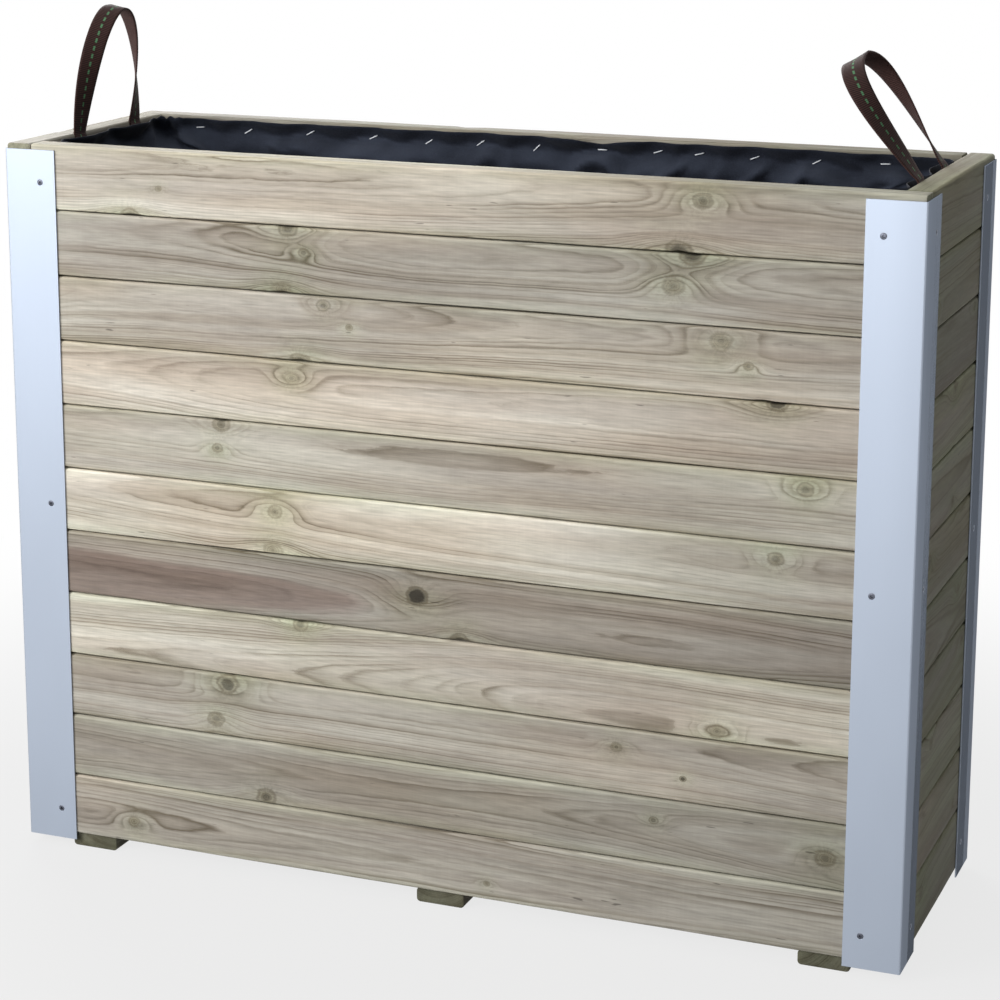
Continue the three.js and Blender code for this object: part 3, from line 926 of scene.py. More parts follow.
def make_piece(
    bm: bmesh.types.BMesh, name: str, material: bpy.types.Material, sharp: float = 40
) -> bpy.types.Object:
    """Turns a bmesh into a finished piece at the origin.

    Args:
        bm: The mesh in the part's frame, freed here.
        name: The piece's name.
        material: Its finish.
        sharp: The angle in degrees past which an edge stays sharp.

    Returns:
        The new object.
    """
    mesh = bpy.data.meshes.new(name)
    bm.to_mesh(mesh)
    bm.free()
    mesh.materials.append(material)
    for face in mesh.polygons:
        face.use_smooth = True
    mesh.set_sharp_from_angle(angle=math.radians(sharp))
    piece = bpy.data.objects.new(name, mesh)
    bpy.context.scene.collection.objects.link(piece)
    LOG.info("piece %s: %d faces", name, len(mesh.polygons))
    return piece


def round_edges(
    bm: bmesh.types.BMesh, edges: list[bmesh.types.BMEdge], radius: float, segments: int
) -> None:
    """Rounds the edges of a shape.

    Args:
        bm: The shape.
        edges: Its edges.
        radius: How far the rounding reaches from each edge.
        segments: How many faces go round it.
    """
    bmesh.ops.bevel(
        bm, geom=edges, offset=radius, offset_type="OFFSET", affect="EDGES",
        segments=segments, profile=0.5, material=-1,
    )


def cut_along(bm: bmesh.types.BMesh, at: Vector, across: Vector) -> None:
    """Cuts a shape along a plane and keeps both sides."""
    bmesh.ops.bisect_plane(bm, geom=[*bm.verts, *bm.edges, *bm.faces], plane_co=at, plane_no=across)


def faces_of(verts: Iterable[bmesh.types.BMVert]) -> list[bmesh.types.BMFace]:
    """Lists the faces that some vertices are corners of."""
    return list({face for vert in verts for face in vert.link_faces})


class QuarterTurn(Enum):
    """One of four like places round the box: its name, and the turn in degrees to it from the first."""

    @property
    def label(self) -> str:
        """The place's name, as its pieces have it."""
        return self.value[0]

    @property
    def turn(self) -> Matrix:
        """The turn about Z from the first place."""
        return Matrix.Rotation(math.radians(self.value[1]), 4, "Z")


class Wall(QuarterTurn):
    """A wall of the box."""

    FRONT = ("front", 0)
    RIGHT_END = ("right_end", 90)
    BACK = ("back", 180)
    LEFT_END = ("left_end", 270)


class Corner(QuarterTurn):
    """A corner of the box."""

    FRONT_LEFT = ("front_left", 0)
    FRONT_RIGHT = ("front_right", 90)
    BACK_RIGHT = ("back_right", 180)
    BACK_LEFT = ("back_left", 270)


class TimberAxis(Enum):
    """How a length of timber lies: the turn from a board lying along X with its face to -Y."""

    ALONG_X_FLAT = Matrix.Rotation(math.radians(90), 4, "X")
    ALONG_Y_FLAT = Matrix.Rotation(math.radians(90), 4, "Z") @ Matrix.Rotation(math.radians(90), 4, "X")
    UPRIGHT = Matrix.Rotation(math.radians(-90), 4, "Y")


@dataclass
class Timber:
    """One planed length of pine that stands for a node: rounded edges, a little unevenness, grain."""

    node: str
    turn: Matrix
    rounding: float
    grain: Grain
    step: float = 12 * MM
    round_segments: int = 4
    end_arris: float = 0.7 * MM
    arris_segments: int = 2
    flat_border: float = 0.8 * MM
    edge_wave: float = 0.42 * MM
    seed_range: Pair = (0, 60)
    wave_rates: Pair = (6, 23)
    side_apart: float = 3
    chips: Chips = ()
    chip_depth: float = 1.6 * MM
    chip_length: float = 9 * MM
    chip_rate: float = 160
    chip_roughness: Line = Line(0.6, 0.7)
    # The share of the length over which the painted shade on the right end comes in.
    fade_reach: float = 0.36
    cut_end: float = 0.9
    end_grain_from: float = 0.6

    def build(self, material: bpy.types.Material, slot: str) -> None:
        """Builds the timber where its node is and sets it on the planter.

        Args:
            material: The wood.
            slot: The record's material slot, not used.
        """
        low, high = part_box(self.node)
        spread = self.turn.to_3x3().inverted() @ (high - low)
        size = Vector((abs(spread.x), abs(spread.y), abs(spread.z)))
        bm = self._bar(size)
        self._make_uneven(bm, size)
        self._mark_grain(bm, size)
        place = Matrix.Translation((low + high) / 2) @ self.turn
        bmesh.ops.transform(bm, matrix=place, verts=bm.verts)
        piece = make_piece(bm, f"{self.node}_planed", material, sharp=60)
        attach(piece, PLANTER_BODY)
        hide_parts(self.node)

    def _bar(self, size: Vector) -> bmesh.types.BMesh:
        """Shapes the bar at the origin, with its length along X.

        Args:
            size: Length, thickness and height.

        Returns:
            The bar with rounded edges and stations along it.
        """
        bm = bmesh.new()
        bmesh.ops.create_cube(bm, size=1)
        bmesh.ops.scale(bm, vec=size, verts=bm.verts)
        round_edges(bm, self._long_edges(bm, size), self.rounding, self.round_segments)
        ends = {edge for face in bm.faces if abs(face.normal.x) > self.cut_end for edge in face.edges}
        round_edges(bm, list(ends), self.end_arris, self.arris_segments)
        cuts = max(1, round(size.x / self.step))
        bmesh.ops.subdivide_edges(bm, edges=self._long_edges(bm, size), cuts=cuts, use_grid_fill=True)
        for axis in (1, 2):
            reach = size[axis] / 2 - self.rounding - self.flat_border
            for side in (-1, 1):
                across = Vector((0, 0, 0))
                across[axis] = side
                cut_along(bm, across * reach, across)
        return bm

    @staticmethod
    def _long_edges(bm: bmesh.types.BMesh, size: Vector) -> list[bmesh.types.BMEdge]:
        """Lists the edges that run most of the bar's length."""
        return [e for e in bm.edges if abs(e.verts[0].co.x - e.verts[1].co.x) > 0.5 * size.x]

    def _make_uneven(self, bm: bmesh.types.BMesh, size: Vector) -> None:
        """Gives the long edges the small waves and chips of planed timber.

        Args:
            bm: The bar.
            size: Length, thickness and height.
        """
        seed = self._seed()
        half = size.z / 2
        slow, quick = self.wave_rates
        for vert in bm.verts:
            along, depth, height = vert.co
            side = math.copysign(1, height)
            apart = side * self.side_apart
            wave = noise.noise(Vector((along * slow, apart, seed.x)))
            wave += 0.5 * noise.noise(Vector((along * quick, apart, seed.y)))
            share = smoothstep(half - 2 * self.rounding, half - 0.5 * self.rounding, abs(height))
            vert.co.z -= side * share * self.edge_wave * (0.5 + wave)
            for chip_along, chip_side in self.chips:
                if chip_side == side and depth < 0:
                    near = math.exp(-(((along - chip_along) / self.chip_length) ** 2))
                    rough = noise.noise(Vector((along * self.chip_rate, seed.z, 0)))
                    rough = self.chip_roughness.base + self.chip_roughness.share * rough
                    vert.co.z -= side * share * self.chip_depth * near * rough

    def _seed(self) -> Vector:
        """A shift of the noise that is the timber's own."""
        draw = random.Random(self.node)
        return Vector([draw.uniform(*self.seed_range) for _ in range(3)])

    def _mark_grain(self, bm: bmesh.types.BMesh, size: Vector) -> None:
        """Writes on the mesh what the wood's material reads.

        Args:
            bm: The bar, still at the origin.
            size: Length, thickness and height.
        """
        grain = self.grain
        knots = [*grain.knots, *[NO_KNOT] * len(KNOT_SLOTS)][: len(KNOT_SLOTS)]
        constants = {
            "seed": self._seed(),
            "growth": Vector((grain.pith_depth, grain.pith_height, grain.slope)),
            **{slot: Vector(knot[:3]) for slot, knot in zip(KNOT_SLOTS, knots)},
        }
        for name in ("lay", "tone", *constants):
            bm.verts.layers.float_vector.new(name)
        for slot in KNOT_SLOTS:
            bm.verts.layers.float.new(slot + DARK_ENDING)
        vectors = [(bm.verts.layers.float_vector[name], value) for name, value in constants.items()]
        darks = [
            (bm.verts.layers.float[slot + DARK_ENDING], knot.dark)
            for slot, knot in zip(KNOT_SLOTS, knots)
        ]
        lay = bm.verts.layers.float_vector["lay"]
        tone = bm.verts.layers.float_vector["tone"]
        for vert in bm.verts:
            vert[lay] = vert.co + Vector((0, size.y / 2, 0))
            # Painted shade: the tone darkens towards the board's right end.
            faded = grain.fade * smoothstep(0, self.fade_reach * size.x, vert.co.x)
            vert[tone] = Vector((grain.lightness * (1 - faded), grain.heart, grain.green))
            for layer, value in (*vectors, *darks):
                vert[layer] = value
        end_grain = bm.faces.layers.float.new("end_grain")
        for face in bm.faces:
            face[end_grain] = 1.0 if abs(face.normal.x) > self.end_grain_from else 0.0


# The front boards from the top down, with the knots that the photograph shows, and painted shade on the
# right ends of some.
FRONT_GRAIN = (
    Grain(44 * MM, 24 * MM, 0.006, 1.08, 0, 0.10, (
        Knot(0.266, 0.0167, 8 * MM, 0.4), Knot(-0.332, -0.005, 3 * MM, 0.3),
        Knot(0.242, -0.035, 11 * MM, 0.75), Knot(-0.366, -0.037, 9 * MM, 0.55),
    ), fade=0.25),
    Grain(38 * MM, 16 * MM, -0.008, 0.79, 52 * MM, 0.08, (
        Knot(-0.182, 0.034, 9 * MM, 0.5), Knot(-0.164, 0.009, 5 * MM, 0.45),
        Knot(0.256, 0.035, 11 * MM, 0.75), Knot(0.237, 0.002, 9 * MM, 0.25),
        Knot(-0.190, -0.032, 9 * MM, 0.15),
    )),
    Grain(40 * MM, 20 * MM, 0.008, 0.94, 50 * MM, 0.10, (
        Knot(-0.142, 0.026, 6 * MM, 0.4), Knot(-0.113, 0.005, 3.5 * MM, 0.2),
        Knot(0.287, 0.0215, 9 * MM, 0.15), Knot(0.315, -0.001, 4.5 * MM, 0.3),
        Knot(-0.170, -0.036, 9 * MM, 0.5),
    )),
    Grain(50 * MM, 14 * MM, -0.010, 1.20, 0, 0.04, (
        Knot(-0.180, 0.0164, 6.5 * MM, 0.2), Knot(0.345, 0.036, 9 * MM, 0.85),
    ), fade=0.22),
    Grain(42 * MM, 18 * MM, 0.008, 0.95, 30 * MM, 0.14, (
        Knot(-0.264, 0.030, 8 * MM, 0.5), Knot(-0.269, 0.004, 5 * MM, 0.4),
        Knot(0.376, 0.0226, 7 * MM, 0.4),
    ), fade=0.06),
    Grain(38 * MM, 18 * MM, -0.008, 1.23, 40 * MM, 0.16, (
        Knot(-0.202, 0.0115, 7 * MM, 0.35), Knot(0.348, 0.020, 7 * MM, 0.45),
        Knot(-0.205, -0.031, 9 * MM, 0.2),
    ), fade=0.30),
    Grain(34 * MM, -8 * MM, 0.012, 0.66, 66 * MM, 0.02, (
        Knot(-0.038, 0.0085, 10 * MM, 0.95), Knot(0.010, -0.035, 8 * MM, 0.6),
    )),
    Grain(46 * MM, -24 * MM, -0.008, 1.07, 0, 0.14, (
        Knot(-0.174, 0.032, 7 * MM, 0.45), Knot(0.291, -0.0246, 7 * MM, 0.3),
    )),
    Grain(40 * MM, 22 * MM, 0.006, 0.84, 44 * MM, 0.08, (
        Knot(-0.262, 0.025, 10 * MM, 0.72), Knot(-0.277, -0.017, 8 * MM, 0.35),
        Knot(0.184, 0.0146, 5 * MM, 0.3), Knot(0.256, -0.010, 3 * MM, 0.8),
    )),
    Grain(34 * MM, 2 * MM, -0.010, 0.73, 54 * MM, 0.12, (
        Knot(-0.218, -0.028, 9 * MM, 0.6), Knot(0.407, -0.002, 9 * MM, 0.4),
        Knot(0.225, 0.012, 4 * MM, 0.5),
    ), fade=0.12),
    Grain(36 * MM, -6 * MM, 0.014, 0.82, 40 * MM, 0.08, (
        Knot(0.041, -0.016, 3 * MM, 0.2), Knot(-0.383, -0.010, 6 * MM, 0.25),
    ), fade=0.12),
)
# By course from 0 at the bottom: each chip's place along the board, and its lower or upper edge.
FRONT_CHIPS = {
    10: ((-0.366, -1), (0.242, -1)),
    9: ((-0.182, 1), (-0.190, -1), (0.256, 1)),
    8: ((-0.170, -1), (0.330, -1)),
    7: ((0.345, 1),),
    6: ((-0.264, 1),),
    4: ((0.010, -1),),
    3: ((-0.174, 1),),
}


@dataclass
class Walls:
    """The four walls, each a stack of boards."""

    finishes: Finishes
    courses: int = 11
    rounding: float = 3.4 * MM
    front_step: float = 6 * MM
    chip_along: Pair = (-0.45, 0.45)
    # The right end wall is drawn darker, as painted shade, and greener.
    end_tone: float = 0.76
    end_green: float = 0.42

    def build(self) -> None:
        """Builds every board of every wall."""
        for wall in Wall:
            draw = random.Random(wall.label)
            for course in range(self.courses):
                node = f"{wall.label}_board_{course + 1:02d}"
                self._board(wall, course, node, draw).build(self.finishes.pine, "boards")

    def _board(self, wall: Wall, course: int, node: str, draw: random.Random) -> Timber:
        """Describes one board.

        Args:
            wall: The board's wall.
            course: Its course, from 0 at the bottom.
            node: Its node's name.
            draw: The seeded source of numbers for every wall but the front.

        Returns:
            The board.
        """
        low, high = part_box(node)
        length = max(high.x - low.x, high.y - low.y)
        grain = GrainDraw().grain(draw, length, (high.z - low.z) / 2)
        chips: Chips = ((draw.uniform(*self.chip_along) * length, draw.choice((-1, 1))),)
        if wall is Wall.FRONT:
            grain = FRONT_GRAIN[self.courses - 1 - course]
            chips = FRONT_CHIPS.get(course, ())
        # Painted shade: the right end wall's boards are darkened and made greener.
        if wall is Wall.RIGHT_END:
            tone = self.end_tone * grain.lightness
            grain = grain._replace(lightness=tone, green=grain.green + self.end_green)
        step = self.front_step if wall is Wall.FRONT else 2 * self.front_step
        return Timber(node, wall.turn, self.rounding, grain, step=step, chips=chips)


@dataclass
class Base:
    """What the box stands on and is fixed to inside: runners, floor boards and corner posts."""

    finishes: Finishes
    runner_rounding: float = 4 * MM
    floor_rounding: float = 3 * MM
    post_rounding: float = 2.5 * MM
    tone: float = 0.42
    green: float = 0.4

    def build(self) -> None:
        """Builds the runners, the floor boards and the posts."""
        draw = random.Random("base timber")
        for node, turn, rounding, slot in self._lengths():
            low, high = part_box(node)
            size = high - low
            grain = GrainDraw().grain(draw, max(size), min(size) / 2)
            grain = grain._replace(lightness=self.tone, green=self.green)
            Timber(node, turn, rounding, grain).build(self.finishes.pine, slot)

    def _lengths(self) -> Iterator[tuple[str, Matrix, float, str]]:
        """Lists each length of timber.

        Yields:
            Its node, its turn, the rounding of its edges and its material slot.
        """
        for side in ("left", "middle", "right"):
            yield f"{side}_runner", TimberAxis.ALONG_Y_FLAT.value, self.runner_rounding, "runners"
        for number in (1, 2):
            yield f"floor_board_{number}", TimberAxis.ALONG_X_FLAT.value, self.floor_rounding, "timber"
        for corner in Corner:
            yield f"{corner.label}_post", TimberAxis.UPRIGHT.value, self.post_rounding, "timber"


@dataclass
class CornerAngles:
    """The bent metal angles with their countersunk screws."""

    finishes: Finishes
    thickness: float = 1.5 * MM
    bend_radius: float = 1.8 * MM
    bend_segments: int = 6
    edge_round: float = 0.25 * MM
    edge_segments: int = 2
    edge_angle: float = 50
    screw_from_corner: float = 41.8 * MM
    screw_end_inset: float = 35 * MM
    screws_per_flange: int = 3
    hole_radius: float = 3.3 * MM
    hole_sides: int = 24
    hole_inset: float = 1 * MM
    hole_clear: float = 1.2
    patch: float = 12 * MM
    patch_corner: float = 1.45
    head_radius: float = 3.15 * MM
    head_sink: float = 0.25 * MM
    head_height: float = 1.8 * MM
    shank_radius: float = 1.6 * MM
    shank_length: float = 23 * MM
    tip_radius: float = 0.3 * MM
    tip_length: float = 4 * MM
    recess_radius: float = 1.9 * MM
    lip: float = 0.35 * MM
    recess_depth: float = 1.5 * MM
    recess_taper: float = 0.82
    lobes: int = 6
    lobe_depth: float = 0.20

    def build(self) -> None:
        """Builds the angles and their screws at the four corners."""
        for corner in Corner:
            node = f"{corner.label}_angle"
            low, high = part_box(node)
            place = self._place(corner, low, high)
            height, flange = high.z - low.z, high.x - low.x
            angle = self._angle(height, flange)
            bmesh.ops.transform(angle, matrix=place, verts=angle.verts)
            piece = make_piece(angle, f"{node}_sheet", self.finishes.angle, sharp=30)
            wall = piece.modifiers.new("wall", "SOLIDIFY")
            wall.thickness = self.thickness
            wall.offset = -1
            wall.use_even_offset = True
            edge = piece.modifiers.new("edge", "BEVEL")
            edge.width = self.edge_round
            edge.segments = self.edge_segments
            edge.limit_method = "ANGLE"
            edge.angle_limit = math.radians(self.edge_angle)
            edge.harden_normals = True
            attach(piece, PLANTER_BODY)
            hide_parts(node)
            self._screws(corner, height, place)

    @staticmethod
    def _place(corner: Corner, low: Vector, high: Vector) -> Matrix:
        """Finds where a corner's frame is: its outer corner at the bottom, flanges along X and Y.

        Args:
            corner: The corner.
            low: The lowest corner of the angle's box.
            high: The highest corner of the angle's box.

        Returns:
            The frame's place and turn.
        """
        x = low.x if corner in (Corner.FRONT_LEFT, Corner.BACK_LEFT) else high.x
        y = low.y if corner in (Corner.FRONT_LEFT, Corner.FRONT_RIGHT) else high.y
        return Matrix.Translation((x, y, low.z)) @ corner.turn

    def _heights(self, height: float) -> list[float]:
        """Lists the screws' heights above the angle's lower end."""
        inset, last = self.screw_end_inset, self.screws_per_flange - 1
        return [inset + (height - 2 * inset) * number / last for number in range(last + 1)]

    def _angle(self, height: float, flange: float) -> bmesh.types.BMesh:
        """Shapes the outer face of one angle, with its holes and its bend.

        Args:
            height: The angle's length.
            flange: The width of each flange.

        Returns:
            The open sheet, facing out.
        """
        bm = bmesh.new()
        corners = [bm.verts.new(at) for at in ((0, flange, 0), (0, 0, 0), (flange, 0, 0))]
        edges = [bm.edges.new(pair) for pair in zip(corners, corners[1:])]
        raised = bmesh.ops.extrude_edge_only(bm, edges=edges)["geom"]
        lifted = [item for item in raised if isinstance(item, bmesh.types.BMVert)]
        bmesh.ops.translate(bm, vec=(0, 0, height), verts=lifted)
        self._cut_holes(bm, height)
        bend = [e for e in bm.edges if all(v.co.xy.length < ON_CORNER for v in e.verts)]
        round_edges(bm, bend, self.bend_radius, self.bend_segments)
        bmesh.ops.recalc_face_normals(bm, faces=bm.faces)
        outward = sum((f.calc_area() * f.normal.x for f in bm.faces), 0.0)
        if outward > 0:
            bmesh.ops.reverse_faces(bm, faces=bm.faces)
        return bm

    def _cut_holes(self, bm: bmesh.types.BMesh, height: float) -> None:
        """Cuts a round hole for each screw.

        Args:
            bm: The sheet with its outer corner on the Z axis.
            height: The angle's length.
        """
        half = self.patch / 2
        for level in self._heights(height):
            for side in (-half, half):
                cut_along(bm, Vector((0, 0, level + side)), Vector((0, 0, 1)))
        for side in (-half, half):
            cut_along(bm, Vector((self.screw_from_corner + side, 0, 0)), Vector((1, 0, 0)))
            cut_along(bm, Vector((0, self.screw_from_corner + side, 0)), Vector((0, 1, 0)))
        for place in self._screw_places(height):
            middle = place.translation
            face = min(bm.faces, key=lambda f: (f.calc_center_median() - middle).length)
            border = list(face.edges)
            bmesh.ops.delete(bm, geom=[face], context="FACES_ONLY")
            bmesh.ops.subdivide_edges(bm, edges=border, cuts=self.hole_sides // 4 - 1)
            rim = [e for e in bm.edges if e.is_boundary and self._on_patch(e, middle)]
            hole = bmesh.ops.edgeloop_fill(bm, edges=rim)["faces"][0]
            bmesh.ops.inset_individual(bm, faces=[hole], thickness=self.hole_inset)
            for vert in hole.verts:
                vert.co = middle + (vert.co - middle).normalized() * self.hole_radius
            bmesh.ops.delete(bm, geom=[hole], context="FACES_ONLY")

    def _on_patch(self, edge: bmesh.types.BMEdge, middle: Vector) -> bool:
        """Tells whether an edge lies on the border of a hole's square patch."""
        least, most = self.hole_radius * self.hole_clear, self.patch / 2 * self.patch_corner
        return all(least < (v.co - middle).length < most for v in edge.verts)

    def _screw_places(self, height: float) -> list[Matrix]:
        """Lists each screw's frame on an angle, with Z pointing out of the flange.

        Args:
            height: The angle's length.

        Returns:
            The frames on both flanges.
        """
        front = Matrix.Rotation(math.radians(90), 4, "X")
        side = Matrix.Rotation(math.radians(-90), 4, "Y")
        places = []
        for level in self._heights(height):
            places.append(Matrix.Translation((self.screw_from_corner, 0, level)) @ front)
            places.append(Matrix.Translation((0, self.screw_from_corner, level)) @ side)
        return places

    def _screws(self, corner: Corner, height: float, place: Matrix) -> None:
        """Builds the screws of one angle as one piece.

        Args:
            corner: The angle's corner.
            height: The angle's length.
            place: The angle's frame.
        """
        bm = bmesh.new()
        draw = random.Random(f"{corner.label} screws")
        for frame_of_screw in self._screw_places(height):
            spun = Matrix.Rotation(draw.uniform(0, math.pi), 4, "Z")
            self._screw(bm, place @ frame_of_screw @ spun)
        piece = make_piece(bm, f"{corner.label}_screws", self.finishes.screw, sharp=35)
        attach(piece, PLANTER_BODY)

    def _screw(self, bm: bmesh.types.BMesh, place: Matrix) -> None:
        """Adds one countersunk screw with a lobed recess.

        Args:
            bm: The mesh that takes it.
            place: The screw's frame, its head's face at the flange and Z pointing out.
        """
        before = set(bm.verts)
        sides = 4 * self.lobes
        head = bmesh.ops.create_circle(bm, cap_ends=True, segments=sides, radius=self.head_radius)
        verts = head["verts"]
        face = verts[0].link_faces[0]
        bmesh.ops.inset_region(
            bm, faces=[face], thickness=self.lip, depth=self.lip / 2, use_boundary=True
        )
        border = self.head_radius - self.recess_radius - self.lip
        bmesh.ops.inset_region(bm, faces=[face], thickness=border, use_boundary=True)
        for number, vert in enumerate(face.verts):
            lobe = math.cos(2 * math.pi * self.lobes * number / sides)
            vert.co.xy = vert.co.xy * (1 - self.lobe_depth + self.lobe_depth * lobe)
        floor = bmesh.ops.extrude_discrete_faces(bm, faces=[face])["faces"][0]
        bmesh.ops.translate(bm, vec=(0, 0, -self.recess_depth), verts=floor.verts)
        bmesh.ops.scale(bm, vec=(self.recess_taper, self.recess_taper, 1), verts=floor.verts)
        rim = [e for v in verts for e in v.link_edges if e.is_boundary]
        for radius, drop in (
            (self.shank_radius, self.head_height),
            (self.shank_radius, self.shank_length - self.tip_length),
            (self.tip_radius, self.tip_length),
        ):
            grown = bmesh.ops.extrude_edge_only(bm, edges=list(set(rim)))["geom"]
            ring = [g for g in grown if isinstance(g, bmesh.types.BMVert)]
            bmesh.ops.translate(bm, vec=(0, 0, -drop), verts=ring)
            for vert in ring:
                vert.co.xy = vert.co.xy.normalized() * radius
            rim = [g for g in grown if isinstance(g, bmesh.types.BMEdge) and g.is_boundary]
        bmesh.ops.contextual_create(bm, geom=list(set(rim)))
        whole = [vert for vert in bm.verts if vert not in before]
        bmesh.ops.recalc_face_normals(bm, faces=faces_of(whole))
        sunk_place = place @ Matrix.Translation((0, 0, -self.head_sink - self.lip / 2))
        bmesh.ops.transform(bm, matrix=sunk_place, verts=whole)


class Staple(NamedTuple):
    """A staple on a wall: its place along it from the middle, its drop below the rim, its tilt."""

    along: float
    drop: float
    tilt: float


class Fold(NamedTuple):
    """A ridge in the liner, from one place along and down a wall to another, with its size."""

    start: Pair
    end: Pair
    height: float
    width: float


BACK_STAPLES = (
    Staple(-0.420, 13 * MM, 5), Staple(-0.358, 15 * MM, 30), Staple(-0.279, 13 * MM, 28),
    Staple(-0.200, 14 * MM, 24), Staple(-0.132, 16 * MM, 32), Staple(-0.069, 14 * MM, 35),
    Staple(-0.002, 16 * MM, 45), Staple(0.075, 14 * MM, 0), Staple(0.139, 13 * MM, 18),
    Staple(0.186, 13 * MM, 15), Staple(0.248, 14 * MM, 22), Staple(0.316, 15 * MM, 28),
    Staple(0.391, 13 * MM, 3),
)
END_STAPLES = (Staple(-0.100, 13 * MM, 8), Staple(0.004, 14 * MM, 20), Staple(0.100, 13 * MM, 12))
# How much lower the left end's staples are, out of the photograph's sight.
LEFT_END_LOWER = 26 * MM
WALL_STAPLES = {
    Wall.BACK: BACK_STAPLES,
    Wall.FRONT: tuple(Staple(-at, drop, -tilt) for at, drop, tilt in BACK_STAPLES),
    Wall.LEFT_END: tuple(Staple(at, drop + LEFT_END_LOWER, tilt) for at, drop, tilt in END_STAPLES),
    Wall.RIGHT_END: tuple(Staple(-at, drop, tilt) for at, drop, tilt in END_STAPLES),
}
WALL_FOLDS = {
    Wall.BACK: (
        Fold((-0.452, 0.004), (-0.330, 0.105), 13 * MM, 10 * MM),
        Fold((-0.440, 0.022), (-0.405, 0.180), 9 * MM, 11 * MM),
        Fold((-0.318, 0.016), (-0.250, 0.120), 6 * MM, 12 * MM),
        Fold((-0.165, 0.014), (-0.200, 0.160), 5 * MM, 12 * MM),
        Fold((-0.035, 0.012), (0.010, 0.150), 5 * MM, 14 * MM),
        Fold((0.075, 0.014), (0.020, 0.060), 5 * MM, 8 * MM),
        Fold((0.075, 0.014), (0.130, 0.070), 5 * MM, 8 * MM),
        Fold((0.215, 0.012), (0.180, 0.140), 6 * MM, 12 * MM),
        Fold((0.300, 0.018), (0.415, 0.066), 9 * MM, 8 * MM),
        Fold((0.352, 0.010), (0.448, 0.034), 7 * MM, 7 * MM),
        Fold((0.440, 0.020), (0.395, 0.150), 9 * MM, 10 * MM),
    ),
    Wall.RIGHT_END: (
        Fold((0.090, 0.012), (0.030, 0.080), 8 * MM, 9 * MM),
        Fold((-0.060, 0.012), (-0.020, 0.120), 6 * MM, 10 * MM),
    ),
    Wall.LEFT_END: (
        Fold((0.095, 0.010), (0.020, 0.110), 8 * MM, 10 * MM),
        Fold((-0.050, 0.012), (-0.075, 0.130), 6 * MM, 10 * MM),
    ),
    Wall.FRONT: (
        Fold((-0.420, 0.010), (-0.330, 0.100), 9 * MM, 10 * MM),
        Fold((-0.240, 0.012), (-0.200, 0.150), 6 * MM, 12 * MM),
        Fold((0.030, 0.012), (0.000, 0.160), 6 * MM, 12 * MM),
        Fold((0.280, 0.012), (0.340, 0.130), 8 * MM, 11 * MM),
    ),
}
INSIDE = {
    Wall.FRONT: Vector((0, 1)),
    Wall.RIGHT_END: Vector((-1, 0)),
    Wall.BACK: Vector((0, -1)),
    Wall.LEFT_END: Vector((1, 0)),
}


def oblong_point(share: float, reach: Vector, cut: float) -> tuple[Vector, Vector]:
    """Walks round an oblong whose corners are cut across, from the middle of its left end.

    Args:
        share: The place on the way round, from 0 to 1.
        reach: Half of the oblong's width and depth.
        cut: The length cut off each side at a corner.

    Returns:
        The point and the direction inwards.
    """
    x, y = reach.x, reach.y
    corners = [
        Vector(at)
        for at in (
            (-x, 0), (-x, -y + cut), (-x + cut, -y), (x - cut, -y), (x, -y + cut),
            (x, y - cut), (x - cut, y), (-x + cut, y), (-x, y - cut), (-x, 0),
        )
    ]
    lengths = [(b - a).length for a, b in zip(corners, corners[1:])]
    left = share * sum(lengths)
    for start, end, length in zip(corners, corners[1:], lengths):
        if left <= length:
            break
        left -= length
    step = (end - start).normalized() if length > TINY else Vector((0, 1))
    return start + step * min(left, length), Vector((-step.y, step.x))


class Ring(NamedTuple):
    """One level of the tub: the way down to it, its height, its share on the floor and its points.

    Each point comes with the direction inwards from its wall.
    """

    run: float
    height: float
    on_floor: float
    points: list[tuple[Vector, Vector]]


class Ripple(NamedTuple):
    """Waves in the cloth: their rate along the walls and down them, and a shift."""

    along: float
    down: float = 0.0
    shift: float = 0.0

    def height(self, at: Vector, run: float = 0.0) -> float:
        """The waves' height at a place and a way down from the edge, from about -1 to 1."""
        return noise.noise(Vector((at.x * self.along, at.y * self.along, run * self.down + self.shift)))


